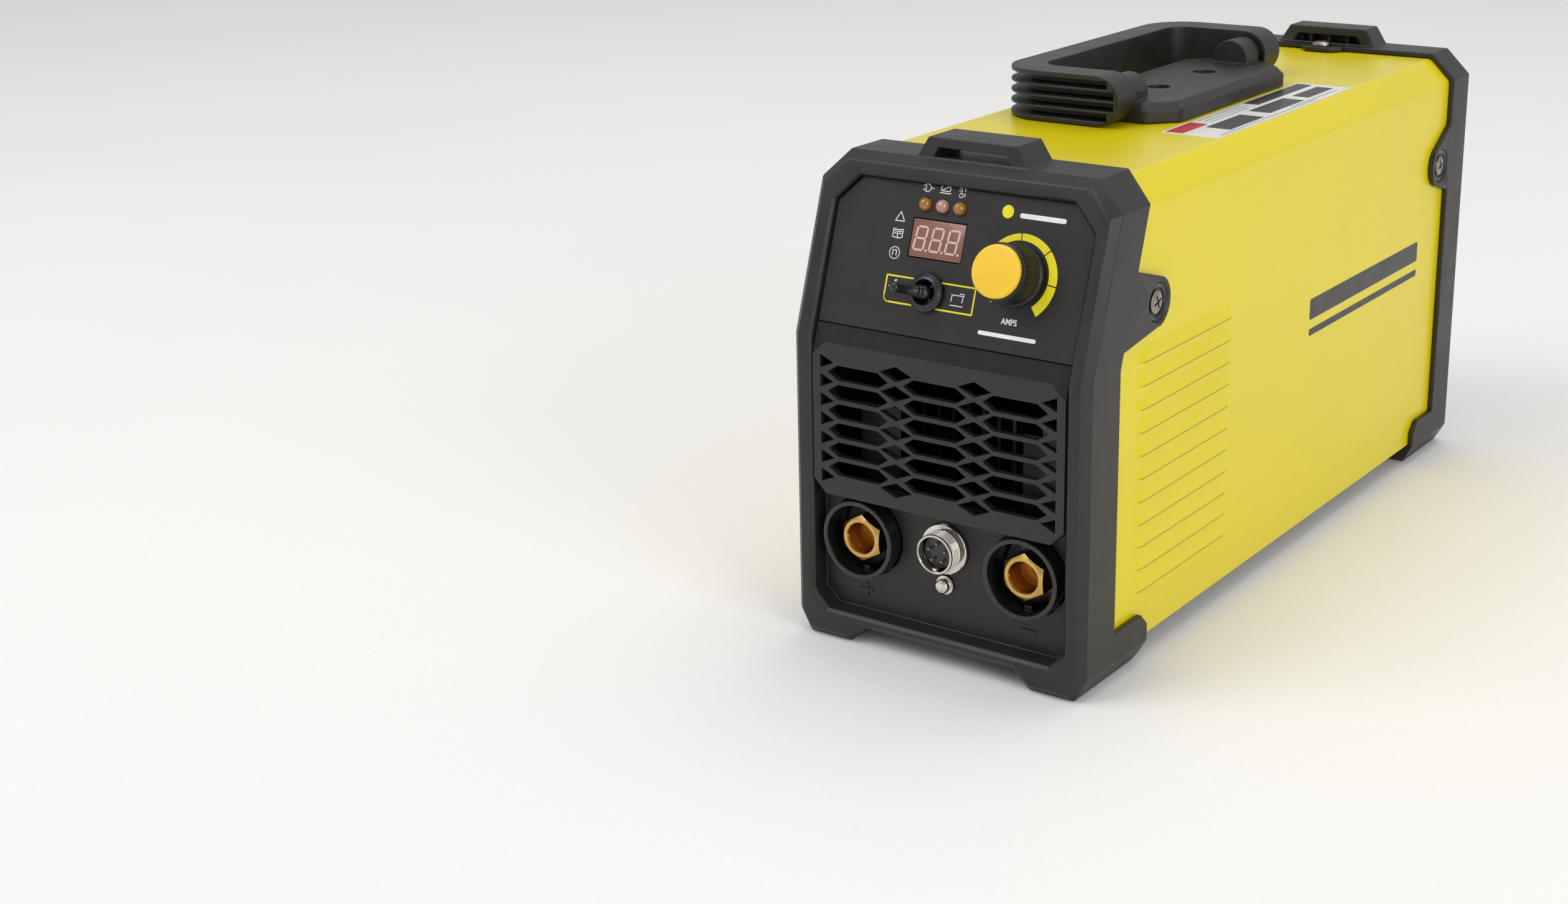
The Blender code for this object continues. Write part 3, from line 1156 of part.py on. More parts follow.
def transformer(along, low):
    """The transformer's core with its two windows and the winding round its middle leg."""
    width, depth, height = CORE_SIZE
    bm = bmesh.new()
    box(bm, (-width / 2, along - depth / 2, low), (width / 2, along + depth / 2, low + height))
    node = make_node("transformer_core", bm, "ferrite")
    gaps = bmesh.new()
    for side in (-1, 1):
        inner, outer = sorted((side * 0.0085, side * 0.0215))
        box(gaps, (inner, along - depth / 2 - OVERSHOOT, low + 0.009),
            (outer, along + depth / 2 + OVERSHOOT, low + height - 0.009))
    boolean(node, gaps, "DIFFERENCE", "windows")
    bm = bmesh.new()
    wide, deep, tall = 0.0205, depth / 2 + 0.0115, height / 2 - 0.0095
    outer = [(-wide, -deep), (wide, -deep), (wide, deep), (-wide, deep)]
    slim, short = 0.0092, depth / 2 + 0.0008
    inner = [(-slim, -short), (slim, -short), (slim, short), (-slim, short)]
    rings = []
    for loop, rise in ((outer, -tall), (outer, tall), (inner, tall), (inner, -tall)):
        rings.append([bm.verts.new((a, along + b, low + height / 2 + rise)) for a, b in loop])
    for low_ring, high_ring in zip(rings, rings[1:] + rings[:1]):
        for i in range(4):
            j = (i + 1) % 4
            bm.faces.new((low_ring[i], low_ring[j], high_ring[j], high_ring[i]))
    make_node("transformer_winding", bm, "copper")


def power_stage():
    """Main board on its posts, heatsinks, magnetics and reservoir capacitors."""
    near, far = FRONT + BOARD_START, REAR_FLOOR - FAN_DEPTH - FAN_CLEARANCE
    board_low = TRAY_BOTTOM + SHEET + POST_HEIGHT
    board_top = board_low + BOARD_THICKNESS
    bm = bmesh.new()
    box(bm, (-BOARD_HALF, near, board_low), (BOARD_HALF, far, board_top))
    make_node("main_board", bm, "board")
    post = BOARD_HALF - 0.006
    for end, y in (("front", near + 0.008), ("rear", far - 0.008)):
        for side, hand in ((-1, "left"), (1, "right")):
            bm = bmesh.new()
            turned(bm, [(0, TRAY_BOTTOM + SHEET + FIT), (0.004, TRAY_BOTTOM + SHEET + FIT),
                        (0.004, board_low - FIT), (0, board_low - FIT)],
                   Matrix.Translation((side * post, y, 0)), 12)
            make_node("board_post_%s_%s" % (end, hand), bm, "brass", (side * post, y, 0))
    low = board_top + FIT
    start = near + HEATSINK_START
    for name, left in (("primary_heatsink", -0.050), ("secondary_heatsink", 0.006)):
        heatsink(name, left, left + 0.044, start, start + HEATSINK_LENGTH, low, low + HEATSINK_HEIGHT)
    top = low + HEATSINK_HEIGHT + FIT
    transformer(start + 0.040, top)
    bm = bmesh.new()
    turned_ring(bm, [(0.024, -0.011), (0.025, -0.009), (0.025, 0.009), (0.024, 0.011),
                     (0.012, 0.011), (0.011, 0.009), (0.011, -0.009), (0.012, -0.011)],
                facing_rear(0, start + 0.087, top + 0.0255))
    make_node("output_inductor", bm, "copper")
    for number, side in enumerate((-1, 1)):
        y = far - 0.060 + number * 0.038
        bm = bmesh.new()
        turned(bm, [(0, board_top + FIT), (0.0140, board_top + FIT), (0.0145, board_top + 0.002),
                    (0.0145, board_top + 0.040), (0.0140, board_top + 0.041), (0, board_top + 0.041)],
               Matrix.Translation((side * 0.026, y, 0)))
        make_node("reservoir_capacitor_%d" % (number + 1), bm, "gloss", (side * 0.026, y, 0))


def build():
    """Make every piece of the machine."""
    clear_scene()
    front_bezel()
    front_grille()
    control_fascia()
    indicators()
    current_control()
    process_toggle()
    output_sockets()
    remote_socket()
    cover_shell()
    base_tray()
    rear_bezel()
    case_screws()
    carry_handle()
    handle_base()
    cooling_fan()
    power_switch()
    mains_gland()
    power_stage()


build()
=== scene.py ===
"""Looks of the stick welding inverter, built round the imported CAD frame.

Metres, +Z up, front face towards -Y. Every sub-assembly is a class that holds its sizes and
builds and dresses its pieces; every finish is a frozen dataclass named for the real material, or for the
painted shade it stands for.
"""

import logging
from dataclasses import dataclass
from enum import Enum
from math import atan2, copysign, cos, hypot, pi, radians, sin, sqrt, tan

import bmesh
import bpy
from mathutils import Matrix, Vector


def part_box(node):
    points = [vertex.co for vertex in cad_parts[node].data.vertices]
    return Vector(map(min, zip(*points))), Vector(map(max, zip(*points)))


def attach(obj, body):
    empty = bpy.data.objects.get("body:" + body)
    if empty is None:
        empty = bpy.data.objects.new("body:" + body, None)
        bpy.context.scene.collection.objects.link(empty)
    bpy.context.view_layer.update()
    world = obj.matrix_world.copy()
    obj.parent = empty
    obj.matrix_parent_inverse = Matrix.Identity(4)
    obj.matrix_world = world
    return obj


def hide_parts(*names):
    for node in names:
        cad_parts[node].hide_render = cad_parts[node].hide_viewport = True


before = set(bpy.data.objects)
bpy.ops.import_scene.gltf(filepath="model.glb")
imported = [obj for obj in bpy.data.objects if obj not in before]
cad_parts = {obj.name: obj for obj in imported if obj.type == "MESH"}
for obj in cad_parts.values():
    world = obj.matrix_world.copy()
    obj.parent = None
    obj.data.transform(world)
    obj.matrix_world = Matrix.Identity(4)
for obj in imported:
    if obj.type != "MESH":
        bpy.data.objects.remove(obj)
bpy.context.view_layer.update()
LOG = logging.getLogger("welder")
MM = 0.001
Spot = tuple[float, float]
Outline = list[Spot]
Shape = bmesh.types.BMesh


# ---- materials ----------------------------------------------------------------------
def to_linear(code: str) -> tuple[float, float, float, float]:
    """Turn an sRGB hex colour into linear RGBA.

    Args:
        code: Six hex digits with a leading hash.
    Returns:
        Linear red, green, blue and an alpha of 1.
    """
    parts = [int(code[i:i + 2], 16) / 255 for i in (1, 3, 5)]
    red, green, blue = [p / 12.92 if p <= 0.04045 else ((p + 0.055) / 1.055) ** 2.4 for p in parts]
    return red, green, blue, 1.0


def add_node(tree: bpy.types.NodeTree, kind: str, inputs: dict | None = None,
        **settings: object) -> bpy.types.Node:
    """Add a node with its settings and its inputs.

    Args:
        tree: The node tree to add to.
        kind: The node's type name.
        inputs: Values for its sockets, or sockets to link from, by name or number.
        settings: Properties of the node itself.
    Returns:
        The new node.
    """
    node = tree.nodes.new(kind)
    for key, value in settings.items():
        setattr(node, key, value)
    for key, value in (inputs or {}).items():
        if isinstance(value, bpy.types.NodeSocket):
            tree.links.new(value, node.inputs[key])
        else:
            node.inputs[key].default_value = value
    return node


def blend(tree: bpy.types.NodeTree, factor: bpy.types.NodeSocket, first: object,
        second: object) -> bpy.types.NodeSocket:
    """Mix two colours, each given as RGBA or as a socket, by a factor, and return the result's socket."""
    return add_node(tree, "ShaderNodeMix", {"Factor": factor, 6: first, 7: second},
            data_type="RGBA").outputs[2]


def remap(tree: bpy.types.NodeTree, value: bpy.types.NodeSocket, source: Spot,
        target: Spot = (0.0, 1.0)) -> bpy.types.NodeSocket:
    """Stretch the source range of a value over the target range, and return the result's socket."""
    return add_node(tree, "ShaderNodeMapRange", {"Value": value, "From Min": source[0], "From Max": source[1],
            "To Min": target[0], "To Max": target[1]}).outputs["Result"]


@dataclass(frozen=True)
class Finish:
    """A real material: its colour, how it varies, and the grain its making left."""
    name: str
    colour: str
    second: str = ""
    roughness: float = 0.5
    spread: float = 0.06
    # Size of the colour's clouds, size of the grain and depth of the grain.
    texture_mm: tuple[float, float, float] = (9.0, 0.4, 0.02)
    metallic: float = 0.0
    coat: float = 0.0
    coat_roughness: float = 0.05
    subsurface: float = 0.0
    stretch: tuple[float, float, float] = (1.0, 1.0, 1.0)

    def material(self) -> bpy.types.Material:
        """The finish as a material, made once."""
        found = bpy.data.materials.get(self.name)
        return found or self.build()

    def pattern(self, tree: bpy.types.NodeTree, place: bpy.types.NodeSocket) -> dict:
        """Colour, roughness and height over the surface.

        Args:
            tree: The material's node tree.
            place: Object coordinates, stretched for a directional finish.
        Returns:
            Sockets by the names colour, roughness and height.
        """
        cloud_mm, grain_mm, _ = self.texture_mm
        cloud = add_node(tree, "ShaderNodeTexNoise", {"Vector": place, "Scale": 1000 / cloud_mm,
                "Detail": 4.0, "Roughness": 0.6})
        grain = add_node(tree, "ShaderNodeTexNoise", {"Vector": place, "Scale": 1000 / grain_mm,
                "Detail": 3.0, "Roughness": 0.65})
        both = add_node(tree, "ShaderNodeMath", {0: cloud.outputs["Fac"], 1: grain.outputs["Fac"], 2: -0.02},
                operation="MULTIPLY_ADD")
        share = remap(tree, both.outputs["Value"], (0.12, 0.36))
        colour = blend(tree, share, to_linear(self.colour), to_linear(self.second or self.colour))
        gloss = remap(tree, cloud.outputs["Fac"], (0.3, 0.7), (self.roughness - self.spread,
                self.roughness + self.spread))
        return {"colour": colour, "roughness": gloss, "height": grain.outputs["Fac"]}

    def build(self) -> bpy.types.Material:
        """Make the material's node tree."""
        material = bpy.data.materials.new(self.name)
        material.use_nodes = True
        tree = material.node_tree
        shader = tree.nodes["Principled BSDF"]
        spot = add_node(tree, "ShaderNodeTexCoord")
        place = add_node(tree, "ShaderNodeMapping", {"Vector": spot.outputs["Object"], "Scale": self.stretch})
        made = self.pattern(tree, place.outputs["Vector"])
        relief = add_node(tree, "ShaderNodeBump", {"Height": made["height"], "Strength": 1.0,
                "Distance": self.texture_mm[2] * MM})
        tree.links.new(made["colour"], shader.inputs["Base Color"])
        tree.links.new(made["roughness"], shader.inputs["Roughness"])
        tree.links.new(relief.outputs["Normal"], shader.inputs["Normal"])
        shader.inputs["Metallic"].default_value = self.metallic
        shader.inputs["Coat Weight"].default_value = self.coat
        shader.inputs["Coat Roughness"].default_value = self.coat_roughness
        if self.subsurface:
            shader.inputs["Subsurface Weight"].default_value = self.subsurface
            shader.inputs["Subsurface Scale"].default_value = 1.5 * MM
        material.diffuse_color = to_linear(self.colour)
        return material


@dataclass(frozen=True)
class WoundWire(Finish):
    """Enamelled wire laid side by side: bands one wire wide with a groove between them."""
    wire_mm: float = 0.9

    def pattern(self, tree: bpy.types.NodeTree, place: bpy.types.NodeSocket) -> dict:
        """Bands of wire over the usual variation, with painted shade in the grooves. Args and Returns as in
        Finish.
        """
        made = super().pattern(tree, place)
        # A band texture of scale 1 repeats every 0.314 m.
        bands = add_node(tree, "ShaderNodeTexWave", {"Vector": place, "Scale": 314 / self.wire_mm,
                "Distortion": 0.6, "Detail": 1.0}, wave_type="BANDS", bands_direction="Z")
        # Painted shade: the grooves between the wires are darkened towards the second colour.
        shade = blend(tree, bands.outputs["Fac"], to_linear(self.second), made["colour"])
        return {**made, "colour": shade, "height": bands.outputs["Fac"]}


@dataclass(frozen=True)
class PrintedBoard(Finish):
    """Glass-fibre board under green solder mask, with etched tracks and tinned pads."""
    track_mm: float = 1.6
    pad_mm: float = 3.0
    pad: str = "#c9c6bb"

    def pattern(self, tree: bpy.types.NodeTree, place: bpy.types.NodeSocket) -> dict:
        """Tracks and pads in the mask. Args and Returns as in Finish."""
        made = super().pattern(tree, place)
        tracks = add_node(tree, "ShaderNodeTexBrick", {"Vector": place, "Scale": 1000 / self.track_mm,
                "Color1": (1, 1, 1, 1), "Color2": (0.8, 0.8, 0.8, 1), "Mortar": (0, 0, 0, 1),
                "Mortar Size": 0.04, "Brick Width": 6.0, "Row Height": 1.0})
        lifted = blend(tree, tracks.outputs["Color"], to_linear(self.second), made["colour"])
        pads = add_node(tree, "ShaderNodeTexVoronoi", {"Vector": place, "Scale": 1000 / self.pad_mm,
                "Randomness": 0.35})
        dots = remap(tree, pads.outputs["Distance"], (0.2, 0.24), (1.0, 0.0))
        return {**made, "colour": blend(tree, dots, lifted, to_linear(self.pad)), "height": dots}


class Stock:
    """Every finish of the machine, each named for what it is and how its surface was made, or for the painted
    shade it stands for.
    """
    # Spark-eroded mould texture: a fine even grain that breaks the highlight up.
    TEXTURED_ABS = Finish("moulded black ABS, spark-eroded grain", "#1b1918", "#272423", 0.44, 0.05,
            (14, 0.45, 0.045))
    # The panel film has the same colour with a finer, drier grain.
    PANEL_FILM = Finish("matt black panel film", "#191716", "#242120", 0.52, 0.05, (10, 0.35, 0.03))
    # Painted shade: the upward faces of the ledge above the vent get a near-black matt colour that stands for
    # the shade lying on them.
    VENT_LEDGE_SHADE = Finish("near-black matt, painted shade on the vent ledge", "#060606", "#0b0b0b", 0.75, 0.05, (6, 0.3, 0.01))
    SATIN_PHENOLIC = Finish("satin moulded black phenolic", "#101011", "#1a1a1b", 0.46, 0.05, (5, 0.7, 0.01))
    # Polished mould: nearly no grain, so reflections stay sharp.
    GLOSS_NYLON = Finish("glossy moulded black nylon", "#0f0f10", "#1a1a1b", 0.16, 0.05, (6, 1.2, 0.006),
            coat=0.3)
    # Powder paint flows as it is baked and leaves only a trace of orange peel.
    POWDER_COAT = Finish("yellow powder coat on steel", "#dbc900", "#dfcd02", 0.3, 0.02, (60, 1.8, 0.002))
    # Painted shade: a darker yellow runs along the lower lip of each louvre and stands for the shade in the
    # crease there.
    LOUVRE_LIP_SHADE = Finish("darker yellow, painted shade along each louvre lip", "#9c8b00", "#a89604", 0.4, 0.04,
            (4, 0.6, 0.004))
    # The cover is only dipped on its inner side, where no powder reaches.
    PRIMER = Finish("black electro-coat primer", "#151514", "#1d1d1c", 0.5, 0.06, (20, 1.2, 0.006))
    # Screen-printed on the panel's film: solid and slightly raised, with no metallic flake.
    YELLOW_INK = Finish("yellow screen-print ink", "#e9d90c", "#f2e320", 0.42, 0.05, (3, 0.3, 0.01))
    WHITE_INK = Finish("white screen-print ink", "#e4e2df", "#f4f2ef", 0.45, 0.05, (3, 0.3, 0.01))
    # Satin moulded cap, warmer than the paint.
    CAP_PLASTIC = Finish("satin moulded yellow ABS", "#efc22c", "#f6cd3c", 0.38, 0.04, (8, 0.5, 0.012),
            subsurface=0.08)
    RUBBER = Finish("moulded black neoprene", "#0d0d0e", "#19191a", 0.3, 0.07, (4, 0.8, 0.012), coat=0.2)
    # Turned on a lathe: grooves finer than the eye, seen as a soft stretch of the highlight.
    TURNED_BRASS = Finish("turned brass", "#c39a55", "#d9b370", 0.22, 0.06, (5, 0.5, 0.01), 1.0,
            stretch=(1, 6, 1))
    BRIGHT_NICKEL = Finish("bright nickel plate on turned brass", "#cfc9c0", "#dedad2", 0.15, 0.05,
            (4, 0.6, 0.005), 1.0)
    # Barrel-plated: duller than the connector and a little brown.
    SCREW_NICKEL = Finish("barrel-plated nickel on steel", "#8b857e", "#a19a92", 0.24, 0.06, (3, 0.5, 0.006),
            1.0)
    TINNED_PIN = Finish("tin-plated contact", "#bdb7ac", "#a39c90", 0.3, 0.06, (2, 0.4, 0.004), 1.0)
    ZINC_STEEL = Finish("bright zinc-plated steel", "#b9b8b4", "#a4a5a6", 0.3, 0.08, (6, 0.7, 0.008), 1.0)
    SHEET_ZINC = Finish("galvanised sheet steel", "#a7a9a9", "#8f9293", 0.42, 0.1, (14, 3.0, 0.01), 1.0)
    # Drawn through a die: fine lines along the length.
    EXTRUDED_ALUMINIUM = Finish("extruded aluminium", "#bfc1c3", "#a9abae", 0.38, 0.07, (6, 0.5, 0.012), 1.0,
            stretch=(1, 0.04, 1))
    # The bars are sleeved before they are bolted on, so no bare copper shows.
    SLEEVED_BAR = Finish("black heat-shrink sleeve on copper bar", "#141414", "#1d1d1e", 0.42, 0.06,
            (9, 0.8, 0.02))
    # Its second colour serves both the random tone and the painted shade in the grooves between the wires.
    MAGNET_WIRE = WoundWire("enamelled copper winding", "#a8562e", "#3c180b", 0.32, 0.06, (8, 0.5, 0.25), 0.6)
    CAP_SLEEVE = Finish("shrunk PVC sleeve over a capacitor", "#12151c", "#1c2029", 0.3, 0.06,
            (12, 1.5, 0.02))
    SINTERED_FERRITE = Finish("sintered ferrite", "#2c2c2e", "#3b3b3e", 0.62, 0.08, (2.5, 0.5, 0.05))
    SOLDER_MASK = PrintedBoard("green solder-masked board", "#0b3d1f", "#1b5a31", 0.35, 0.06, (10, 0.6, 0.03))
    # Unlit lamps: tinted epoxy, clear enough to glow from light that enters it.
    AMBER_EPOXY = Finish("amber tinted epoxy", "#a8761c", "#8a5e14", 0.12, 0.04, (1.6, 1.5, 0.004), coat=1.0,
            subsurface=0.5)
    ROSE_EPOXY = Finish("water-clear epoxy over a pink reflector", "#c49a88", "#a87c6c", 0.12, 0.04,
            (1.6, 1.5, 0.004), coat=1.0, subsurface=0.5)
    DISPLAY_EPOXY = Finish("brown tinted display epoxy", "#7d5142", "#8c5e4e", 0.3, 0.05, (7, 0.5, 0.006),
            coat=0.4)
    SEGMENT = Finish("unlit display segment", "#cdb3a6", "#d9c3b8", 0.35, 0.05, (2, 0.4, 0.004), coat=0.3)
    LABEL_PAPER = Finish("laminated white vinyl label", "#d9d8d3", "#e3e2dd", 0.32, 0.04, (20, 0.8, 0.006))
    LABEL_RED = Finish("red label ink", "#b3252a", "#c23035", 0.35, 0.04, (8, 0.5, 0.006))
    LABEL_BLACK = Finish("black label ink", "#151516", "#222223", 0.35, 0.05, (8, 0.5, 0.006))
    LABEL_GREY = Finish("grey label ink", "#8b8b88", "#9a9a97", 0.4, 0.05, (4, 0.5, 0.006))
    FLOOR = Finish("matt white studio paper", "#f1f0ee", "#f4f3f1", 0.85, 0.03, (400, 3.0, 0.01))


# ---- modelling ----------------------------------------------------------------------
class Axis(Enum):
    """Which way a frame's z axis points."""
    FRONT = Matrix.Rotation(pi / 2, 4, "X")
    REAR = Matrix.Rotation(-pi / 2, 4, "X")


def standing(axis: Axis, x: float, y: float, z: float) -> Matrix:
    """A frame at a place with its z axis pointing the given way."""
    return Matrix.Translation((x, y, z)) @ axis.value


def facing_side(side: int, x: float, y: float, z: float) -> Matrix:
    """A frame whose z axis points out of the right (+1) or left (-1) side."""
    return Matrix.Translation((x, y, z)) @ Matrix.Rotation(side * pi / 2, 4, "Y")


def linked(name: str, data: bpy.types.ID) -> bpy.types.Object:
    """A new object with the given data, in the scene."""
    thing = bpy.data.objects.new(name, data)
    bpy.context.scene.collection.objects.link(thing)
    return thing


def evaluated(holder: bpy.types.Object) -> bpy.types.Mesh:
    """A new mesh of an object as its modifiers or its text make it."""
    bpy.context.view_layer.update()
    return bpy.data.meshes.new_from_object(holder.evaluated_get(bpy.context.evaluated_depsgraph_get()))


def even_shading(piece: bpy.types.Object) -> None:
    """Weigh a piece's normals by the size of its faces, so that flat faces look flat."""
    piece.modifiers.new("even shading", "WEIGHTED_NORMAL").keep_sharp = True


def polar(radius: float, degrees: float, centre: Spot = (0, 0)) -> Spot:
    """The point at an angle on a circle."""
    return centre[0] + radius * cos(radians(degrees)), centre[1] + radius * sin(radians(degrees))


def corners(left: float, low: float, right: float, high: float) -> Outline:
    """A rectangle's outline."""
    return [(left, low), (right, low), (right, high), (left, high)]


def spun(profile: Outline, place: Matrix, steps: int = 64) -> Shape:
    """Spin a profile of (radius, height) pairs in millimetres round a frame's z axis.

    Args:
        profile: The profile; a closed ring repeats its first point at the end.
        place: The frame to stand it in.
        steps: Segments round the axis.
    Returns:
        The turned shape.
    """
    bm = bmesh.new()
    closed = profile[0] == profile[-1]
    verts = [bm.verts.new((r * MM, 0, z * MM)) for r, z in (profile[:-1] if closed else profile)]
    pairs = list(zip(verts, verts[1:])) + ([(verts[-1], verts[0])] if closed else [])
    edges = [bm.edges.new(pair) for pair in pairs]
    bmesh.ops.spin(bm, geom=verts + edges, axis=(0, 0, 1), cent=(0, 0, 0), steps=steps, angle=2 * pi,
            use_merge=True)
    bmesh.ops.remove_doubles(bm, verts=bm.verts, dist=1e-6)
    bmesh.ops.dissolve_degenerate(bm, edges=bm.edges, dist=1e-7)
    bmesh.ops.recalc_face_normals(bm, faces=bm.faces)
    bmesh.ops.transform(bm, matrix=place, verts=bm.verts)
    return bm


def slab(outline: Outline, place: Matrix, low: float, high: float, bevel: float = 0.0) -> Shape:
    """Extrude a flat outline, in millimetres, along a frame's z axis and round its top edge."""
    bm = bmesh.new()
    face = bm.faces.new([bm.verts.new((x * MM, y * MM, low * MM)) for x, y in outline])
    grown = bmesh.ops.extrude_face_region(bm, geom=[face])["geom"]
    lifted = [item for item in grown if isinstance(item, bmesh.types.BMVert)]
    bmesh.ops.translate(bm, vec=(0, 0, (high - low) * MM), verts=lifted)
    if bevel:
        top = [item for item in grown if isinstance(item, bmesh.types.BMEdge)]
        bmesh.ops.bevel(bm, geom=top, offset=bevel * MM, segments=2, profile=0.5, affect="EDGES", material=-1)
    bmesh.ops.recalc_face_normals(bm, faces=bm.faces)
    bmesh.ops.transform(bm, matrix=place, verts=bm.verts)
    return bm


def joined(parts: list[Shape]) -> Shape:
    """Put several shapes in one bmesh and free them."""
    whole = bmesh.new()
    for part in parts:
        holder = bpy.data.meshes.new("holder")
        part.to_mesh(holder)
        part.free()
        whole.from_mesh(holder)
        bpy.data.meshes.remove(holder)
    return whole


def rounded_box(width: float, height: float, radius: float, centre: Spot = (0, 0)) -> Outline:
    """A rectangle's outline with round corners, in millimetres."""
    points = []
    for quarter, (sx, sy) in enumerate(((1, 1), (-1, 1), (-1, -1), (1, -1))):
        for step in range(5):
            middle = centre[0] + sx * (width / 2 - radius), centre[1] + sy * (height / 2 - radius)
            points.append(polar(radius, 90 * quarter + 22.5 * step, middle))
    return points


def disc(radius: float, centre: Spot = (0, 0), steps: int = 28, start: float = 0.0,
        sweep: float = 360.0) -> Outline:
    """Points on a circle or an arc, in millimetres and degrees."""
    count = steps if sweep == 360.0 else steps + 1
    return [polar(radius, start + sweep * i / steps, centre) for i in range(count)]


def stroke(points: Outline, width: float, place: Matrix, low: float, high: float) -> Shape:
    """A printed line of constant width along a chain of points, in millimetres."""
    bars = []
    for (x0, y0), (x1, y1) in zip(points, points[1:]):
        length = hypot(x1 - x0, y1 - y0)
        turn = Matrix.Translation(((x0 + x1) / 2 * MM, (y0 + y1) / 2 * MM, 0))
        turn = turn @ Matrix.Rotation(atan2(y1 - y0, x1 - x0), 4, "Z")
        half, tip = width / 2, length / 2 + width * 0.35
        bars.append(slab(corners(-tip, -half, tip, half), place @ turn, low, high))
    return joined(bars)


def publish(name: str, bm: Shape, finish: Finish, body: str = "casing", stands_for: tuple[str, ...] = (),
        smooth: float = 32.0) -> bpy.types.Object:
    """Turn a shape into a piece of the machine.

    Args:
        name: The piece's plain name.
        bm: Its shape, in place; freed here.
        finish: What it is made of.
        body: The CAD body it moves with.
        stands_for: CAD nodes that it replaces.
        smooth: Edges flatter than this many degrees are shaded smooth.
    Returns:
        The new object.
    """
    mesh = bpy.data.meshes.new(name)
    bm.to_mesh(mesh)
    bm.free()
    mesh.polygons.foreach_set("use_smooth", [True] * len(mesh.polygons))
    mesh.set_sharp_from_angle(angle=radians(smooth))
    mesh.materials.append(finish.material())
    piece = linked(name, mesh)
    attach(piece, body)
    if stands_for:
        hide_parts(*stands_for)
    LOG.info("%s: %d faces, %s, on %s", name, len(mesh.polygons), finish.name, body)
    return piece


def softened(node: str, name: str, finish: Finish, body: str = "casing", radius: float = 0.45,
        shortest: float = 1.6, steps: int = 2, corner: float = 0.0) -> bpy.types.Object:
    """A copy of a CAD node with its long hard edges rounded, standing for that node.

    Args:
        node: The CAD node.
        name: The piece's name.
        finish: What it is made of.
        body: The CAD body it moves with.
        radius: Width of the rounding, in millimetres.
        shortest: Edges under this length, in millimetres, stay hard.
        steps: Segments of the rounding.
        corner: Width of a larger rounding of the long upright corners, in millimetres.
    Returns:
        The new object.
    """
    bm = bmesh.new()
    bm.from_mesh(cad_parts[node].data)
    bmesh.ops.remove_doubles(bm, verts=bm.verts, dist=2e-6)
    bmesh.ops.dissolve_limit(bm, angle_limit=radians(0.6), verts=bm.verts, edges=bm.edges)
    # A face with holes bridged into its outline can fold when its edges are rounded, so it is split first.
    bmesh.ops.triangulate(bm, faces=[face for face in bm.faces if len(face.verts) > 4], ngon_method="BEAUTY")
    bmesh.ops.recalc_face_normals(bm, faces=bm.faces)
    if corner:
        upright = [edge for edge in bm.edges
                if len(edge.link_faces) == 2 and edge.calc_face_angle(0.0) > radians(20)
                and edge.calc_length() > corner * MM
                and abs(edge.verts[0].co.z - edge.verts[1].co.z) > 0.4 * edge.calc_length()]
        bmesh.ops.bevel(bm, geom=upright, offset=corner * MM, segments=4, profile=0.5, affect="EDGES",
                clamp_overlap=True, material=-1)
    hard = [edge for edge in bm.edges if len(edge.link_faces) == 2 and edge.calc_face_angle(0.0) > radians(28)
            and edge.calc_length() > shortest * MM]
    bmesh.ops.bevel(bm, geom=hard, offset=radius * MM, offset_type="OFFSET", segments=steps, profile=0.5,
            affect="EDGES", clamp_overlap=False, material=-1)
    bmesh.ops.remove_doubles(bm, verts=bm.verts, dist=2e-6)
    piece = publish(name, bm, finish, body, (node,))
    even_shading(piece)
    return piece


# ---- shared sizes -------------------------------------------------------------------
@dataclass(frozen=True)
class Body:
    """The casing's main planes, read from the CAD where it gives them."""
    half: float = 64.0
    top: float = 190.0
    chamfer: float = 11.0
    break_height: float = 122.0
    lean: float = radians(18.6)
    wall: float = 2.2
    fit: float = 0.4
    recess: float = 9.0
    front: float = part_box("front_bezel")[0].y / MM
    rear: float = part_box("rear_bezel")[1].y / MM

    def panel(self, across: float, up: float, lift: float = 0.0) -> Matrix:
        """A frame on the leaning panel, in millimetres: x across, y up the panel, z out of it."""
        normal = Vector((0, -cos(self.lean), sin(self.lean)))
        rise = Vector((0, sin(self.lean), cos(self.lean)))
        origin = Vector((across, self.front, self.break_height)) + normal * (lift - 3.0) + rise * up
        basis = Matrix((Vector((1, 0, 0)), rise, normal)).transposed().to_4x4()
        return Matrix.Translation(origin * MM) @ basis

    def recess_floor(self, across: float, height: float) -> Matrix:
        """A frame on the recess floor whose z axis points out of the front."""
        return standing(Axis.FRONT, across * MM, (self.front + self.recess) * MM, height * MM)


BODY = Body()


# ---- sub-assemblies -----------------------------------------------------------------
@dataclass
class FrontMoulding:
    """Front bezel with its recess and feet, the vent insert and the panel plate."""
    mark: float = 5.0
    mark_width: float = 1.1
    mark_rise: float = 0.5
    ledge: float = 120.7

    def build(self) -> None:
        """Make the mouldings and the polarity marks under the sockets."""
        softened("front_bezel", "front_moulding", Stock.TEXTURED_ABS, radius=0.5, shortest=2.0)
        vent = softened("front_grille", "front_vent", Stock.TEXTURED_ABS, radius=0.22, shortest=1.0)
        vent.data.materials.append(Stock.VENT_LEDGE_SHADE.material())
        # The ledge's upward faces take the near-black painted shade.
        for face in vent.data.polygons:
            if face.center.z > self.ledge * MM and face.normal.z > 0.2:
                face.material_index = 1
        softened("control_fascia", "panel_plate", Stock.PANEL_FILM, radius=0.3)
        half = self.mark / 2
        for name, across, lines in (("plus_mark", -36.0, 2), ("minus_mark", 36.0, 1)):
            place = BODY.recess_floor(across, 20.6)
            parts = [stroke([(-half, 0), (half, 0)], self.mark_width, place, -0.2, self.mark_rise)]
            if lines == 2:
                parts.append(stroke([(0, -half), (0, half)], self.mark_width, place, -0.2,
                        self.mark_rise * 0.98))
            publish(name, joined(parts), Stock.TEXTURED_ABS)


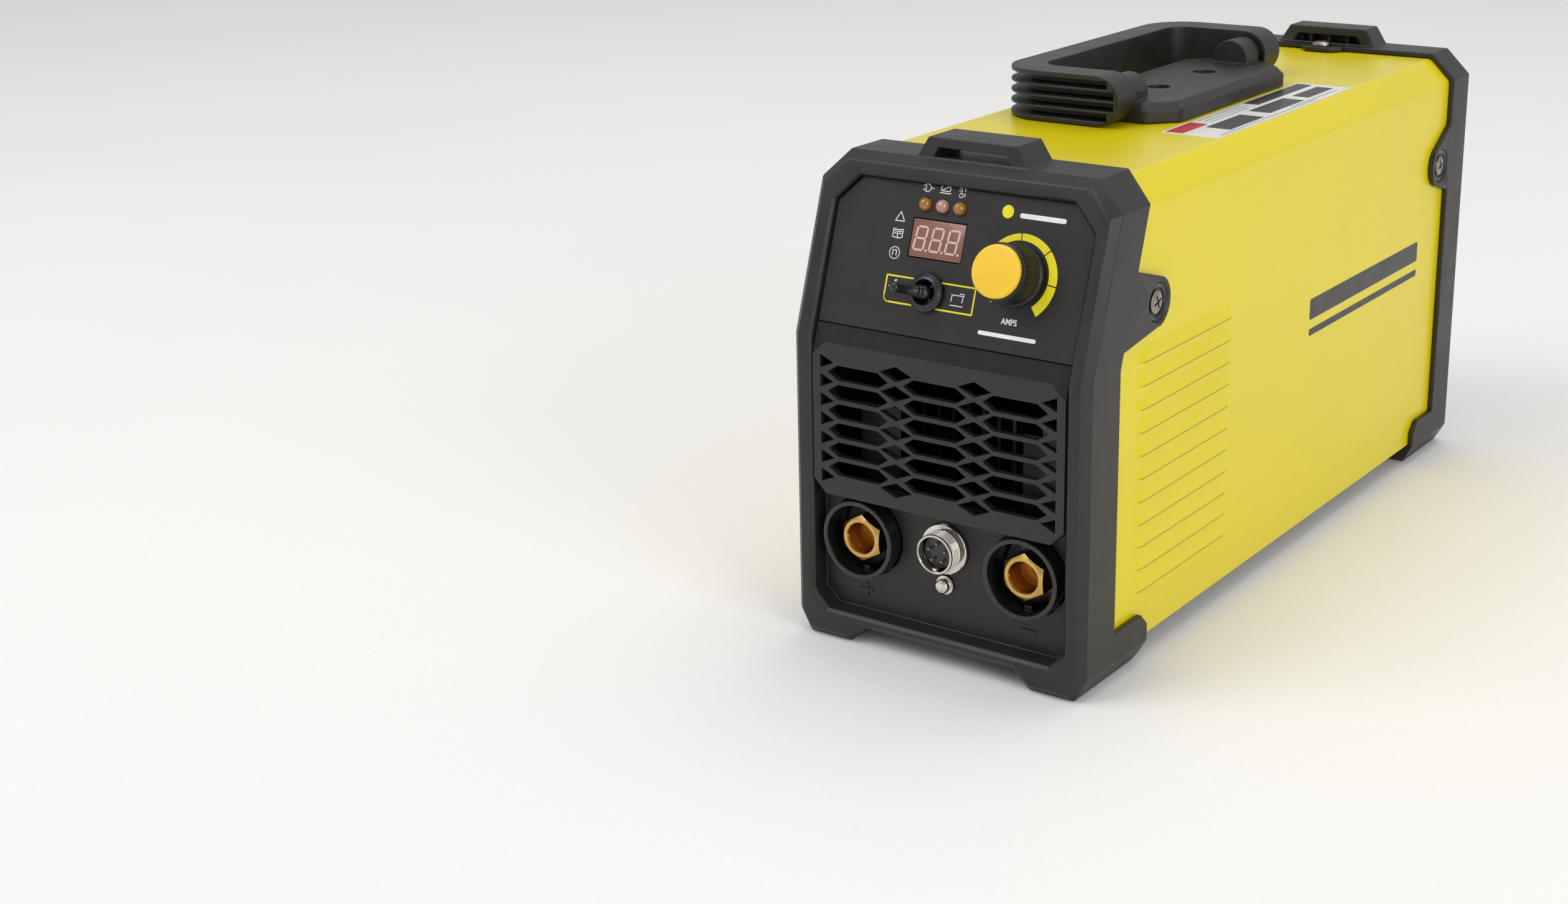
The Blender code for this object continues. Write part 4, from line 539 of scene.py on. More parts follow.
@dataclass
class Lamp:
    """A 5 mm lamp: a flange behind the panel and a dome in front of it."""
    radius: float = 2.5
    names: tuple[tuple[str, float, Finish], ...] = (
            ("led_mains", -16.1, Stock.AMBER_EPOXY), ("led_safe_voltage", -8.7, Stock.ROSE_EPOXY),
            ("led_overheat", -1.3, Stock.AMBER_EPOXY))
    up: float = 55.6

    def build(self) -> None:
        """Make the three lamps."""
        for name, across, finish in self.names:
            dome = [polar(self.radius, a, (0, 0.5)) for a in range(0, 90, 9)]
            profile = [(0, -6), (self.radius, -6), (self.radius + 0.45, -5.6), (self.radius + 0.45, -2.5),
                    (self.radius, -2.4), *dome, (0, 0.5 + self.radius)]
            publish(name + "_lamp", spun(profile, BODY.panel(across, self.up), 40), finish,
                    stands_for=(name,), smooth=50)


@dataclass
class Display:
    """Three seven-segment digits behind brown epoxy."""
    centre: Spot = (-8.9, 43.0)
    size: Spot = (22.5, 14.0)
    digit: Spot = (4.3, 8.6)
    pitch: float = 6.9
    bar: float = 0.8
    slant: float = 0.12

    def corner(self, x: float, a: float, b: float) -> Spot:
        """A corner of the digit that stands at x; a and b run from -1 to 1 across it and up it."""
        half_width, half_height = self.digit[0] / 2, self.digit[1] / 2
        return x + a * half_width + b * half_height * self.slant, b * half_height

    def segment(self, start: Spot, end: Spot, place: Matrix) -> Shape:
        """One pointed bar of a digit between two corners."""
        span = Vector((end[0] - start[0], end[1] - start[1]))
        along, across = span.normalized(), Vector((-span.y, span.x)).normalized()
        middle = Vector(start) + span / 2
        reach, half = span.length / 2 - 0.12, self.bar / 2
        shape = [middle + along * a * reach - along * c * half + across * b * half
                for a, b, c in ((-1, 0, 0), (-1, -1, -1), (1, -1, 1), (1, 0, 0), (1, 1, 1), (-1, 1, -1))]
        return slab([(p.x, p.y) for p in shape], place, -0.3, -0.2)

    def build(self) -> None:
        """Make the window, its module and the unlit digits."""
        place = BODY.panel(*self.centre)
        width, height = self.size
        publish("display_glass", slab(rounded_box(width, height, 0.3), place, -1.7, -0.28, 0.15),
                Stock.DISPLAY_EPOXY, stands_for=("display_window",))
        parts = []
        ends = [((-1, 1), (1, 1)), ((-1, 0), (1, 0)), ((-1, -1), (1, -1)), ((-1, 0), (-1, 1)),
                ((1, 0), (1, 1)), ((-1, -1), (-1, 0)), ((1, -1), (1, 0))]
        for number in (-1, 0, 1):
            x = number * self.pitch - 0.3
            parts += [self.segment(self.corner(x, *a), self.corner(x, *b), place) for a, b in ends]
            point = x + self.digit[0] / 2 + 0.9, -self.digit[1] / 2
            parts.append(slab(disc(0.5, point, 16), place, -0.3, -0.2))
        publish("display_digits", joined(parts), Stock.SEGMENT)


@dataclass
class Knob:
    """Ribbed current knob with its skirt, its satin cap and the printed scale."""
    centre: Spot = (26.8, 34.7)
    radius: float = 10.7
    ribs: int = 44
    rib_depth: float = 0.28
    inner: float = 12.8
    gap: float = 0.9
    marks: tuple[float, ...] = (232.0, 190.5, 142.0, 93.5, 42.0, -7.0, -53.5)

    def build(self) -> None:
        """Make the knob, its cap and the scale round it."""
        place = BODY.panel(*self.centre)
        r = self.radius
        profile = [(3.1, 12.8), (3.1, 5.0), (5.3, 5.0), (5.3, 0.7), (r + 0.5, 0.6), (r + 0.75, 0.9),
                (r + 0.75, 2.1), (r + 0.5, 2.5), (r - 0.05, 2.9), (r, 3.4), (r, 8.0), (r, 13.2),
                (r - 0.15, 13.6), (r - 0.5, 13.85), (0, 13.85), (0, 12.8), (3.1, 12.8)]
        bm = spun(profile, Matrix.Identity(4), self.ribs * 6)
        for vert in bm.verts:
            flat = vert.co.xy.length / MM
            if r - 0.1 < flat < r + 0.1 and vert.co.z > 3.3 * MM:
                angle = atan2(vert.co.y, vert.co.x)
                dip = max(0.0, cos(angle * self.ribs)) * self.rib_depth
                vert.co.xy *= (flat - dip) / flat
        bmesh.ops.transform(bm, matrix=place, verts=bm.verts)
        publish("current_knob", bm, Stock.SATIN_PHENOLIC, "knob", ("amps_knob",), 40)
        seat = place @ Matrix.Rotation(radians(-20), 4, "Z") @ Matrix.Rotation(pi / 2, 4, "Y")
        seat = seat @ Matrix.Translation((-8.3 * MM, 0, (r - 0.5) * MM))
        grub = [(0, 0.05), (0.75, 0.05), (0.75, 0.35), (1.3, 0.35), (1.3, 0.5), (1.45, 0.62), (1.6, 0.5),
                (1.6, 0.0)]
        publish("knob_grub_screw", spun(grub, seat, 24), Stock.GLOSS_NYLON, "knob")
        cap = [(0, 14.3), (9.6, 14.3), (9.7, 14.4), (9.7, 15.5), (9.55, 16.05), (9.2, 16.38), (8.7, 16.5),
                (0, 16.5)]
        publish("current_knob_cap", spun(cap, place, 72), Stock.CAP_PLASTIC, "knob", ("amps_knob_cap",), 50)
        bars = []
        for first, last in zip(self.marks, self.marks[1:]):
            start, end = first - self.gap, last + self.gap
            angles = [start + (end - start) * i / 12 for i in range(13)]
            # The band widens evenly as it goes round.
            outer = [polar(13.9 + 2.9 * (self.marks[0] - angle) / 285, angle) for angle in angles]
            inner = [polar(self.inner, angle) for angle in angles]
            bars.append(slab(outer + inner[::-1], place, -0.02, 0.06))
        publish("amps_scale", joined(bars), Stock.YELLOW_INK)


@dataclass
class Toggle:
    """Process toggle: serrated sealing boot and a sleeved lever thrown to the left."""
    centre: Spot = (-9.1, 23.5)
    teeth: int = 40
    pivot: float = 1.5
    throw: float = radians(24)

    def build(self) -> None:
        """Make the boot's ring and the lever's sleeve."""
        place = BODY.panel(*self.centre)
        ring = [(4.6, 0.4), (7.2, 0.4), (7.4, 0.6), (7.4, 1.5), (7.1, 1.9), (6.4, 2.1), (6.2, 2.6),
                (5.4, 2.9), (4.8, 3.0), (4.6, 2.8), (4.6, 0.4)]
        bm = spun(ring, Matrix.Identity(4), self.teeth * 4)
        for vert in bm.verts:
            if vert.co.xy.length > 7.0 * MM:
                angle = atan2(vert.co.y, vert.co.x)
                vert.co.xy *= 1 - 0.055 * max(0.0, cos(angle * self.teeth))
        bmesh.ops.transform(bm, matrix=place, verts=bm.verts)
        publish("toggle_seal_ring", bm, Stock.RUBBER, stands_for=("toggle_boot_ring",), smooth=50)
        swung = BODY.panel(*self.centre, lift=self.pivot) @ Matrix.Rotation(-self.throw, 4, "Y")
        sleeve = [(0, -2.9), (2.0, -2.05), (2.8, -0.8), (2.9, 0.4), (2.75, 1.6), (2.3, 2.4), (2.45, 2.7),
                (2.45, 3.3), (2.1, 3.6), (2.1, 4.0), (2.3, 4.2), (2.2, 4.8), (1.95, 5.2), (1.9, 12.6),
                (2.15, 13.2), (2.2, 14.0), (2.0, 14.6), (1.4, 14.95), (0, 15.0)]
        publish("toggle_sleeve", spun(sleeve, swung, 40), Stock.RUBBER, "toggle", ("toggle_lever",), 55)


@dataclass
class Print:
    """White and yellow marks printed on the panel."""
    low: float = -0.02
    high: float = 0.05
    line: float = 0.32

    def lines(self, centre: Spot, strokes: list[Outline]) -> Shape:
        """Printed strokes round a centre, in millimetres on the panel."""
        place = BODY.panel(*centre)
        return joined([stroke(points, self.line, place, self.low, self.high) for points in strokes])

    def build(self) -> None:
        """Make every mark on the panel."""
        triangle = [[(-2, -1.6), (2, -1.6), (0, 1.9), (-2, -1.6)]]
        book = [[(0, -1.7), (0, 1.4)], [(0, -1.7), (-2.1, -1.3), (-2.1, 1.7), (0, 1.4), (2.1, 1.7),
                (2.1, -1.3), (0, -1.7)], [(-1.5, 0.9), (-0.6, 0.7)], [(-1.5, 0.1), (-0.6, -0.1)],
                [(1.5, 0.9), (0.6, 0.7)], [(1.5, 0.1), (0.6, -0.1)]]
        ring = [disc(2.2, steps=28) + [(2.2, 0)], [(-0.8, -0.9), (-0.8, 1.0), (0.8, 1.0), (0.8, -0.9)]]
        plug = [[(-2.2, 0.8), (-1.2, 0.8)], [(-2.2, -0.8), (-1.2, -0.8)], [(-1.2, -1.4), (-1.2, 1.4),
                (0.2, 1.4), (1.3, 0), (0.2, -1.4), (-1.2, -1.4)], [(1.3, 0), (2.3, 0)]]
        box = [[(-1.9, -0.6), (1.9, -0.6), (1.9, 1.5), (-1.9, 1.5), (-1.9, -0.6)], [(-1.2, -0.2), (1.3, 1.2)],
                [(-2.3, -1.4), (2.3, -1.4)]]
        heat = [[(-0.6, 1.9), (-0.6, -0.6)], disc(0.75, (-0.6, -1.3), 14) + [(0.15, -1.3)],
                [(0.9, 1.7), (0.9, 0.4)], [(0.9, -0.4), (0.9, -1.6)], [(-1.7, 1.4), (-1.2, 1.4)],
                [(-1.7, 0.4), (-1.2, 0.4)]]
        electrode = [[(-2.4, -0.9), (0.0, -0.9)], [(-1.5, -0.6), (0.2, 1.7)], [(-1.1, -0.6), (0.6, 1.6)],
                [(1.1, -0.9), (2.1, -0.9)]]
        torch = [[(-2.6, 1.5), (2.7, 1.5)], [(0.9, 2.2), (2.7, 2.2)], [(-2.4, 1.5), (-2.6, -0.9)],
                [(2.3, 1.5), (2.1, -0.9)], [(-2.7, -2.3), (2.5, -2.3)]]
        for name, centre, strokes in (
                ("mark_triangle", (-26.1, 49.8), triangle), ("mark_manual", (-26.1, 43.5), book),
                ("mark_ring", (-26.1, 36.3), ring),
                ("mark_mains", (-16.1, 61.7), plug), ("mark_device", (-8.7, 61.9), box),
                ("mark_heat", (-1.3, 61.7), heat), ("mark_electrode", (-23.6, 24.9), electrode),
                ("mark_torch", (4.0, 22.8), torch)):
            publish(name, self.lines(centre, strokes), Stock.WHITE_INK)
        # The line stops under the lever's sealing ring.
        frame_line = [(-4.6, 27.9), (10.9, 27.9), (10.9, 18.1), (-25.4, 18.1)]
        frame_line += disc(2.1, (-25.4, 20.2), 8, 270, -90) + [(-27.5, 27.9), (-13.6, 27.9)]
        place = BODY.panel(0, 0)
        publish("process_outline", stroke(frame_line, 0.62, place, self.low, self.high), Stock.YELLOW_INK)
        for name, outline, centre, ink in (
                ("plain_name_bar", rounded_box(24, 1.5, 0.7), (26.8, 12.6), Stock.WHITE_INK),
                ("plain_maker_bar", rounded_box(19, 1.8, 0.9), (33.2, 56.2), Stock.WHITE_INK),
                ("plain_maker_dot", disc(2.4), (18.6, 57.0), Stock.YELLOW_INK)):
            publish(name, slab(outline, BODY.panel(*centre), self.low, self.high), ink)
        self.unit()

    def unit(self) -> None:
        """The generic unit under the scale, made a mesh before it is placed."""
        curve = bpy.data.curves.new("amps_unit", "FONT")
        curve.body = "AMPS"
        curve.size = 3.1 * MM
        curve.align_x = "CENTER"
        curve.extrude = 0.035 * MM
        curve.offset = 0.06 * MM
        holder = linked("amps_unit_text", curve)
        flat = evaluated(holder)
        bpy.data.objects.remove(holder)
        bm = bmesh.new()
        bm.from_mesh(flat)
        bpy.data.meshes.remove(flat)
        bmesh.ops.remove_doubles(bm, verts=bm.verts, dist=1e-7)
        bmesh.ops.scale(bm, vec=(0.86, 1, 1), verts=bm.verts)
        bmesh.ops.transform(bm, matrix=BODY.panel(26.8, 16.9, 0.03), verts=bm.verts)
        publish("amps_unit", bm, Stock.WHITE_INK)


@dataclass
class OutputSocket:
    """Twist-lock output socket: a glossy cup round a hexagonal brass insert."""
    across: float = 36.0
    height: float = 43.0
    radius: float = 15.8
    rim: float = 7.0
    floor: float = -6.0
    hexagon: float = 16.4
    bore: float = 6.0
    face: float = 7.7
    front: float = 4.5

    def collar(self, name: str, place: Matrix) -> None:
        """The cup, with a rounded rim and a shelf for the plug's key."""
        r, inner = self.radius, self.radius - 2.0
        back = self.floor - 4.0
        profile = [(4.2, back), (r + 2, back), (r + 2, -2.9), (r, -2.9), (r, self.rim - 0.5),
                (r - 0.15, self.rim - 0.15), (r - 0.5, self.rim), (inner + 0.5, self.rim),
                (inner + 0.15, self.rim - 0.15), (inner, self.rim - 0.5), (inner, self.floor + 0.8),
                (inner - 0.8, self.floor), (9.8, self.floor), (9.6, self.floor), (4.2, self.floor),
                (4.2, back)]
        publish(name + "_cup", spun(profile, place, 96), Stock.GLOSS_NYLON, stands_for=(name + "_collar",),
                smooth=40)
        key = slab(corners(-1.6, inner - 1.5, 1.6, inner + 0.4),
                place @ Matrix.Rotation(radians(180), 4, "Z"), self.floor, 0.5, 0.2)
        publish(name + "_key", key, Stock.GLOSS_NYLON)

    def insert(self, name: str, place: Matrix) -> None:
        """The brass insert: a hexagon whose corners a cone cuts, and a threaded bore."""
        flat = self.hexagon / 2
        corner = flat / cos(pi / 6)
        profile = [(0, self.floor - 1.0), (self.bore - 0.2, self.floor - 0.8)]
        turns = 7
        for i in range(turns):
            depth = self.floor + 0.6 + i * (self.front - 1.2 - self.floor - 0.6) / turns
            profile += [(self.bore, depth), (self.bore - 0.22, depth + 0.45)]
        profile += [(self.bore, self.front - 0.9), (self.bore + 0.35, self.front - 0.15),
                (self.bore + 0.6, self.front), (self.face - 0.1, self.front), (self.face, self.front - 0.01),
                (corner, self.front - 1.5), (corner, self.floor + 0.4), (4.0, self.floor + 0.4), (4.0, -26.0),
                (0, -26.0)]
        bm = spun(profile, Matrix.Identity(4), 96)
        for vert in bm.verts:
            reach, level = vert.co.xy.length / MM, vert.co.z / MM
            if level > self.floor and reach > corner - 0.05:
                angle = atan2(vert.co.y, vert.co.x) % (pi / 3) - pi / 6
                limit = flat / cos(angle)
                vert.co.xy *= limit / reach
                if level > self.floor + 2:
                    vert.co.z = (self.front - (limit - self.face) * 0.62) * MM
        bmesh.ops.transform(bm, matrix=place @ Matrix.Rotation(pi / 6, 4, "Z"), verts=bm.verts)
        publish(name + "_brass", bm, Stock.TURNED_BRASS, stands_for=(name + "_insert",), smooth=24)

    def build(self) -> None:
        """Make both sockets."""
        for name, across in (("positive_socket", -self.across), ("negative_socket", self.across)):
            place = BODY.recess_floor(across, self.height)
            self.collar(name, place)
            self.insert(name, place)


@dataclass
class RemoteSocket:
    """Five-pole threaded connector and the earth stud under it."""
    height: float = 45.5
    thread: float = 8.0
    bore: float = 6.8
    length: float = 8.5
    pitch: float = 1.0
    stud: float = 30.8

    def build(self) -> None:
        """Make the shell, its insert, the contacts and the stud."""
        place = BODY.recess_floor(0.0, self.height)
        start = 2.3
        profile = [(self.bore, -9.9), (self.thread, -9.9), (self.thread, 0.4), (9.7, 0.4), (10.0, 0.6),
                (10.0, 1.6), (9.7, 1.9), (self.thread - 0.3, 2.1)]
        while start < self.length - 1.3:
            profile += [(self.thread, start + 0.25), (self.thread, start + 0.45),
                    (self.thread - 0.5, start + 0.75)]
            start += self.pitch
        profile += [(self.thread - 0.1, self.length - 0.7), (self.thread - 0.3, self.length - 0.15),
                (self.thread - 0.55, self.length), (self.bore + 0.15, self.length),
                (self.bore, self.length - 0.3), (self.bore, -9.9)]
        publish("remote_shell", spun(profile, place, 72), Stock.BRIGHT_NICKEL,
                stands_for=("remote_socket_shell",), smooth=24)
        plug = [(0, -12.9), (5.6, -12.9), (6.6, -9.9), (6.6, 4.6), (6.3, 4.95), (5.9, 5.0), (0, 5.0)]
        publish("remote_insert", spun(plug, place, 56), Stock.GLOSS_NYLON,
                stands_for=("remote_socket_insert",))
        parts, rims = [], []
        for pole in range(5):
            spot = place @ Matrix.Rotation(radians(90 + 72 * pole), 4, "Z")
            spot = spot @ Matrix.Translation((3.7 * MM, 0, 5.0 * MM))
            parts.append(spun([(0, -0.3), (0.5, -0.3), (0.5, 1.5), (0.35, 1.9), (0, 2.0)], spot, 16))
            rim = [(0.85, -0.1), (1.05, -0.1), (1.05, 0.12), (0.85, 0.12), (0.85, -0.1)]
            rims.append(spun(rim, spot, 20))
        publish("remote_contacts", joined(parts), Stock.TINNED_PIN)
        publish("remote_contact_rims", joined(rims), Stock.GLOSS_NYLON)
        key = slab(corners(-0.9, -6.7, 0.9, -5.5), place, 4.8, self.length - 0.4, 0.15)
        publish("remote_key", key, Stock.BRIGHT_NICKEL)
        tab = slab(rounded_box(3.2, 1.6, 0.7, (0, 9.3)), place, 0.4, 2.2, 0.3)
        publish("remote_locating_tab", tab, Stock.WHITE_INK)
        head = [(0, -12), (1.8, -12), (1.8, 0.4), (3.75, 0.4), (3.8, 0.6), (3.7, 1.0), (2.8, 1.1), (2.8, 3.0),
                (2.6, 3.5), (2.1, 3.85), (1.2, 4.0), (0, 4.0)]
        publish("earth_stud_nickel", spun(head, BODY.recess_floor(0.0, self.stud), 40), Stock.BRIGHT_NICKEL,
                stands_for=("earth_stud",), smooth=40)


@dataclass
class Screws:
    """Pan-head screws with a cross recess and a polished ring in each side counterbore."""
    head: float = 4.4
    shank: float = 1.8
    cross: float = 2.7
    blade: float = 0.85
    height: float = 141.0
    front_set: float = 51.0
    rear_set: float = 32.0
    sink: float = 1.2

    def screw(self, node: str, place: Matrix, rise: float, length: float) -> None:
        """One screw in place of its CAD node."""
        profile = [(0, -length), (self.shank - 0.4, -length), (self.shank, -length + 0.6)]
        turn = -length + 0.9
        while turn < -1.0:
            profile += [(self.shank, turn), (self.shank - 0.25, turn + 0.35)]
            turn += 0.7
        dome = [(self.head * sin(radians(a)), rise * (0.42 + 0.58 * cos(radians(a))))
                for a in (78, 62, 46, 30, 15)]
        profile += [(self.shank, -0.3), (self.shank, 0.2), (self.head - 0.1, 0.2), (self.head, 0.35),
                (self.head, rise * 0.42), *dome, (0, rise)]
        body = spun(profile, Matrix.Identity(4), 48)
        holder = publish(node + "_head", body, Stock.SCREW_NICKEL, stands_for=(node,), smooth=28)
        arms = []
        for turned in (0, 90):
            arms.append(slab(corners(-self.cross, -self.blade / 2, self.cross, self.blade / 2),
                    Matrix.Rotation(radians(turned + 20), 4, "Z"), rise - 0.9, rise + 0.5 + turned * 0.001))
        cutter = bpy.data.meshes.new(node + "_cutter")
        tool = joined(arms)
        tool.to_mesh(cutter)
        tool.free()
        blade = linked(node + "_cutter", cutter)
        cut = holder.modifiers.new("cross recess", "BOOLEAN")
        cut.operation, cut.solver, cut.object, cut.use_self = "DIFFERENCE", "EXACT", blade, True
        made = evaluated(holder)
        holder.modifiers.clear()
        bpy.data.objects.remove(blade)
        made.transform(place)
        made.materials.clear()
        made.materials.append(Stock.SCREW_NICKEL.material())
        holder.data = made

    def build(self) -> None:
        """Make the case screws, the handle's screws and the rings round the side ones."""
        seat = BODY.half - self.sink
        for end, y in (("front", BODY.front + self.front_set), ("rear", BODY.rear - self.rear_set)):
            for side, hand in ((-1, "left"), (1, "right")):
                place = facing_side(side, side * seat * MM, y * MM, self.height * MM)
                name = "%s_%s_screw" % (end, hand)
                self.screw(name, place, 1.2, 10.0)
                ring = [(5.6, 0.05), (7.2, 0.05), (7.3, 0.3), (7.2, 0.7), (6.9, 0.95), (6.5, 0.85),
                        (6.1, 0.45), (5.6, 0.35), (5.6, 0.05)]
                publish(name + "_ring", spun(ring, place, 56), Stock.GLOSS_NYLON, smooth=50)
        low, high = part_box("top_rear_screw")
        middle = (low + high) / 2
        self.screw("top_rear_screw", Matrix.Translation((middle.x, middle.y, BODY.top * MM)), 2.4, 10.0)
        for end in ("front", "rear"):
            low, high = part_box("handle_screw_" + end)
            middle = (low + high) / 2
            self.screw("handle_screw_" + end, Matrix.Translation((middle.x, middle.y, high.z - 2.6 * MM)),
                    2.6, 14.0)


@dataclass
class Cover:
    """Folded and pressed steel cover, its stripes and its blank label."""
    bottom: float = 9.5
    bend: float = 4.0
    lap: float = 10.0
    wrap: float = 24.0
    rear_wrap: float = 22.0
    count: int = 11
    pitch: float = 9.0
    first: float = 29.5
    start: float = 41.5
    length: float = 75.0
    rise: float = 1.65
    tall: float = 6.6
    end: float = 7.0
    close: float = 1.6
    lip: float = 0.4
    stripe: Spot = (68.0, 118.0)
    stripes: tuple[Spot, ...] = ((104.0, 9.0), (94.0, 3.0))
    label: Spot = (123.0, 251.0)
    label_middle: float = 38.5
    label_width: float = 25.0
    # Place and size of each block and line, as shares of the label's width and length.
    blocks: tuple[tuple[float, float, float, float], ...] = (
            (-0.32, 0.27, 0.27, 0.42), (0.14, -0.24, 0.42, 0.24), (0.1, 0.08, 0.38, 0.26),
            (0.1, 0.36, 0.3, 0.2))
    lines: tuple[tuple[float, float, float], ...] = (
            (-0.4, -0.13, 0.3), (-0.3, -0.12, 0.32), (-0.2, -0.14, 0.28), (0.42, -0.1, 0.7),
            (0.36, 0.26, 0.36))

    def section(self) -> Outline:
        """The cover's right half seen from the front, bottom up, with a row at each louvre's shape."""
        gap = BODY.wall + BODY.fit
        side = BODY.half - gap
        heights = [self.bottom, self.first - 3]
        for row in range(self.count):
            low = self.first + row * self.pitch
            heights += [low - 0.12, low, low + self.lip]
            heights += [low + self.tall * share for share in (0.12, 0.3, 0.5, 0.7, 0.88, 1.0)]
        # How far a 45 degree corner moves along its sides when the sheet is set back by the gap.
        shift = gap * 0.41421
        corner = (side, BODY.top - BODY.chamfer - shift)
        upper = (BODY.half - BODY.chamfer - shift, BODY.top - gap)
        points = [(side, z) for z in heights]
        reach = self.bend * tan(radians(22.5))
        for (cx, cz), way in ((corner, 0.0), (upper, 45.0)):
            turn = radians(way)
            centre = (cx + sin(turn) * reach - cos(turn) * self.bend,
                    cz - cos(turn) * reach - sin(turn) * self.bend)
            points += [polar(self.bend, way + 45 * i / 6, centre) for i in range(7)]
        return points

    def stations(self) -> list[float]:
        """Places along the machine where the skin needs a row."""
        swelling = [share * self.end for share in (0.0, 0.04, 0.12, 0.24, 0.4, 0.6, 0.8, 1.0)]
        closing = [share * self.close for share in (1.0, 0.6, 0.3, 0.1, 0.0)]
        begin = BODY.front + self.start
        finish = begin + self.length
        return [BODY.front + self.wrap - self.lap, begin - 0.4, *(begin + e for e in swelling),
                *(finish - e for e in closing), finish + 0.4, BODY.rear - self.rear_wrap + self.lap]

    def bulge(self, y: float, z: float) -> float:
        """How far the skin stands out at a place on the side, in millimetres."""
        along = y - BODY.front - self.start
        share = min(1.0, along / self.end, (self.length - along) / self.close)
        if share <= 0 or z < self.first - 0.05:
            return 0.0
        swell = sqrt(max(0.0, 1 - (1 - share) ** 2))
        above = (z - self.first) % self.pitch
        if above > self.pitch - 0.05:
            above = 0.0
        if (z - self.first) // self.pitch >= self.count or swell == 0 or above >= self.tall * swell:
            return 0.0
        return self.rise * swell * (1 - above / (self.tall * swell)) ** 1.15

    def on_a_lip(self, spot: Vector) -> bool:
        """Whether a place on the side, in millimetres, is on the thin lower lip of a louvre, where the
        painted shade goes.
        """
        along = spot.y - BODY.front - self.start
        row, above = divmod(spot.z - self.first, self.pitch)
        return self.end * 0.2 < along < self.length and 0 <= row < self.count and 0 < above < self.lip

    def skin(self) -> None:
        """Sweep the section along the machine and press the louvres into it."""
        half = self.section()
        outline = half + [(-x, z) for x, z in reversed(half)]
        rows = self.stations()
        bm = bmesh.new()
        chain = [bm.verts.new((x * MM, rows[0] * MM, z * MM)) for x, z in outline]
        edges = [bm.edges.new(pair) for pair in zip(chain, chain[1:])]
        for here, there in zip(rows, rows[1:]):
            grown = bmesh.ops.extrude_edge_only(bm, edges=edges)["geom"]
            moved = [item for item in grown if isinstance(item, bmesh.types.BMVert)]
            edges = [item for item in grown if isinstance(item, bmesh.types.BMEdge)]
            bmesh.ops.translate(bm, vec=(0, (there - here) * MM, 0), verts=moved)
        slope = tan(BODY.lean)
        for vert in bm.verts:
            x, y, z = (part / MM for part in vert.co)
            if y < rows[0] + 0.1 and z > BODY.break_height:
                vert.co.y += (z - BODY.break_height) * slope * MM
            if abs(abs(x) - (BODY.half - BODY.wall - BODY.fit)) < 0.01:
                vert.co.x += copysign(self.bulge(y, z + 0.02), x) * MM
        bmesh.ops.recalc_face_normals(bm, faces=bm.faces)
        bm.normal_update()
        roof = max(bm.faces, key=lambda face: face.calc_center_median().z)
        if roof.normal.z < 0:
            bmesh.ops.reverse_faces(bm, faces=bm.faces)
        piece = publish("cover_skin", bm, Stock.POWDER_COAT, stands_for=("cover_shell",), smooth=30)
        for finish in (Stock.PRIMER, Stock.LOUVRE_LIP_SHADE, Stock.PRIMER):
            piece.data.materials.append(finish.material())
        # The strip along each louvre's lip takes the darker yellow painted shade.
        for face in piece.data.polygons:
            if self.on_a_lip(face.center / MM):
                face.material_index = 2
        sheet = piece.modifiers.new("sheet", "SOLIDIFY")
        sheet.thickness, sheet.offset, sheet.material_offset = 1.2 * MM, -1.0, 1
        even_shading(piece)

    def build(self) -> None:
        """Make the skin, the plain side stripes and the blank label on top."""
        self.skin()
        side = BODY.half - BODY.wall - BODY.fit
        for way, hand in ((-1, "left"), (1, "right")):
            place = Matrix.Translation((way * side * MM, 0, 0)) @ Matrix.Rotation(way * pi / 2, 4, "Y")
            place = place @ Matrix.Rotation(way * pi / 2, 4, "Z")
            bars = [slab(rounded_box(self.stripe[1], tall, 1.0, (way * self.stripe[0], height)), place,
                    -0.05, 0.06) for height, tall in self.stripes]
            publish("side_stripe_" + hand, joined(bars), Stock.LABEL_BLACK)
        top = BODY.top - BODY.wall - BODY.fit
        begin, finish = BODY.front + self.label[0], BODY.front + self.label[1]
        label = Matrix.Translation((self.label_middle * MM, (begin + finish) / 2 * MM, top * MM))
        long, wide = finish - begin, self.label_width
        publish("top_label", slab(rounded_box(wide, long, 1.0), label, -0.03, 0.06), Stock.LABEL_PAPER)
        red = slab(rounded_box(wide * 0.3, long * 0.17, 0.3, (-wide * 0.3, -long * 0.4)), label, 0.05, 0.09)
        publish("top_label_red_block", red, Stock.LABEL_RED)
        dark = [slab(rounded_box(wide * w, long * h, 0.3, (wide * x, long * y)), label, 0.05, 0.09)
                for x, y, w, h in self.blocks]
        publish("top_label_blocks", joined(dark), Stock.LABEL_BLACK)
        lines = [slab(rounded_box(0.7, long * share, 0.3, (wide * x, long * y)), label, 0.05, 0.09)
                for x, y, share in self.lines]
        publish("top_label_lines", joined(lines), Stock.LABEL_GREY)


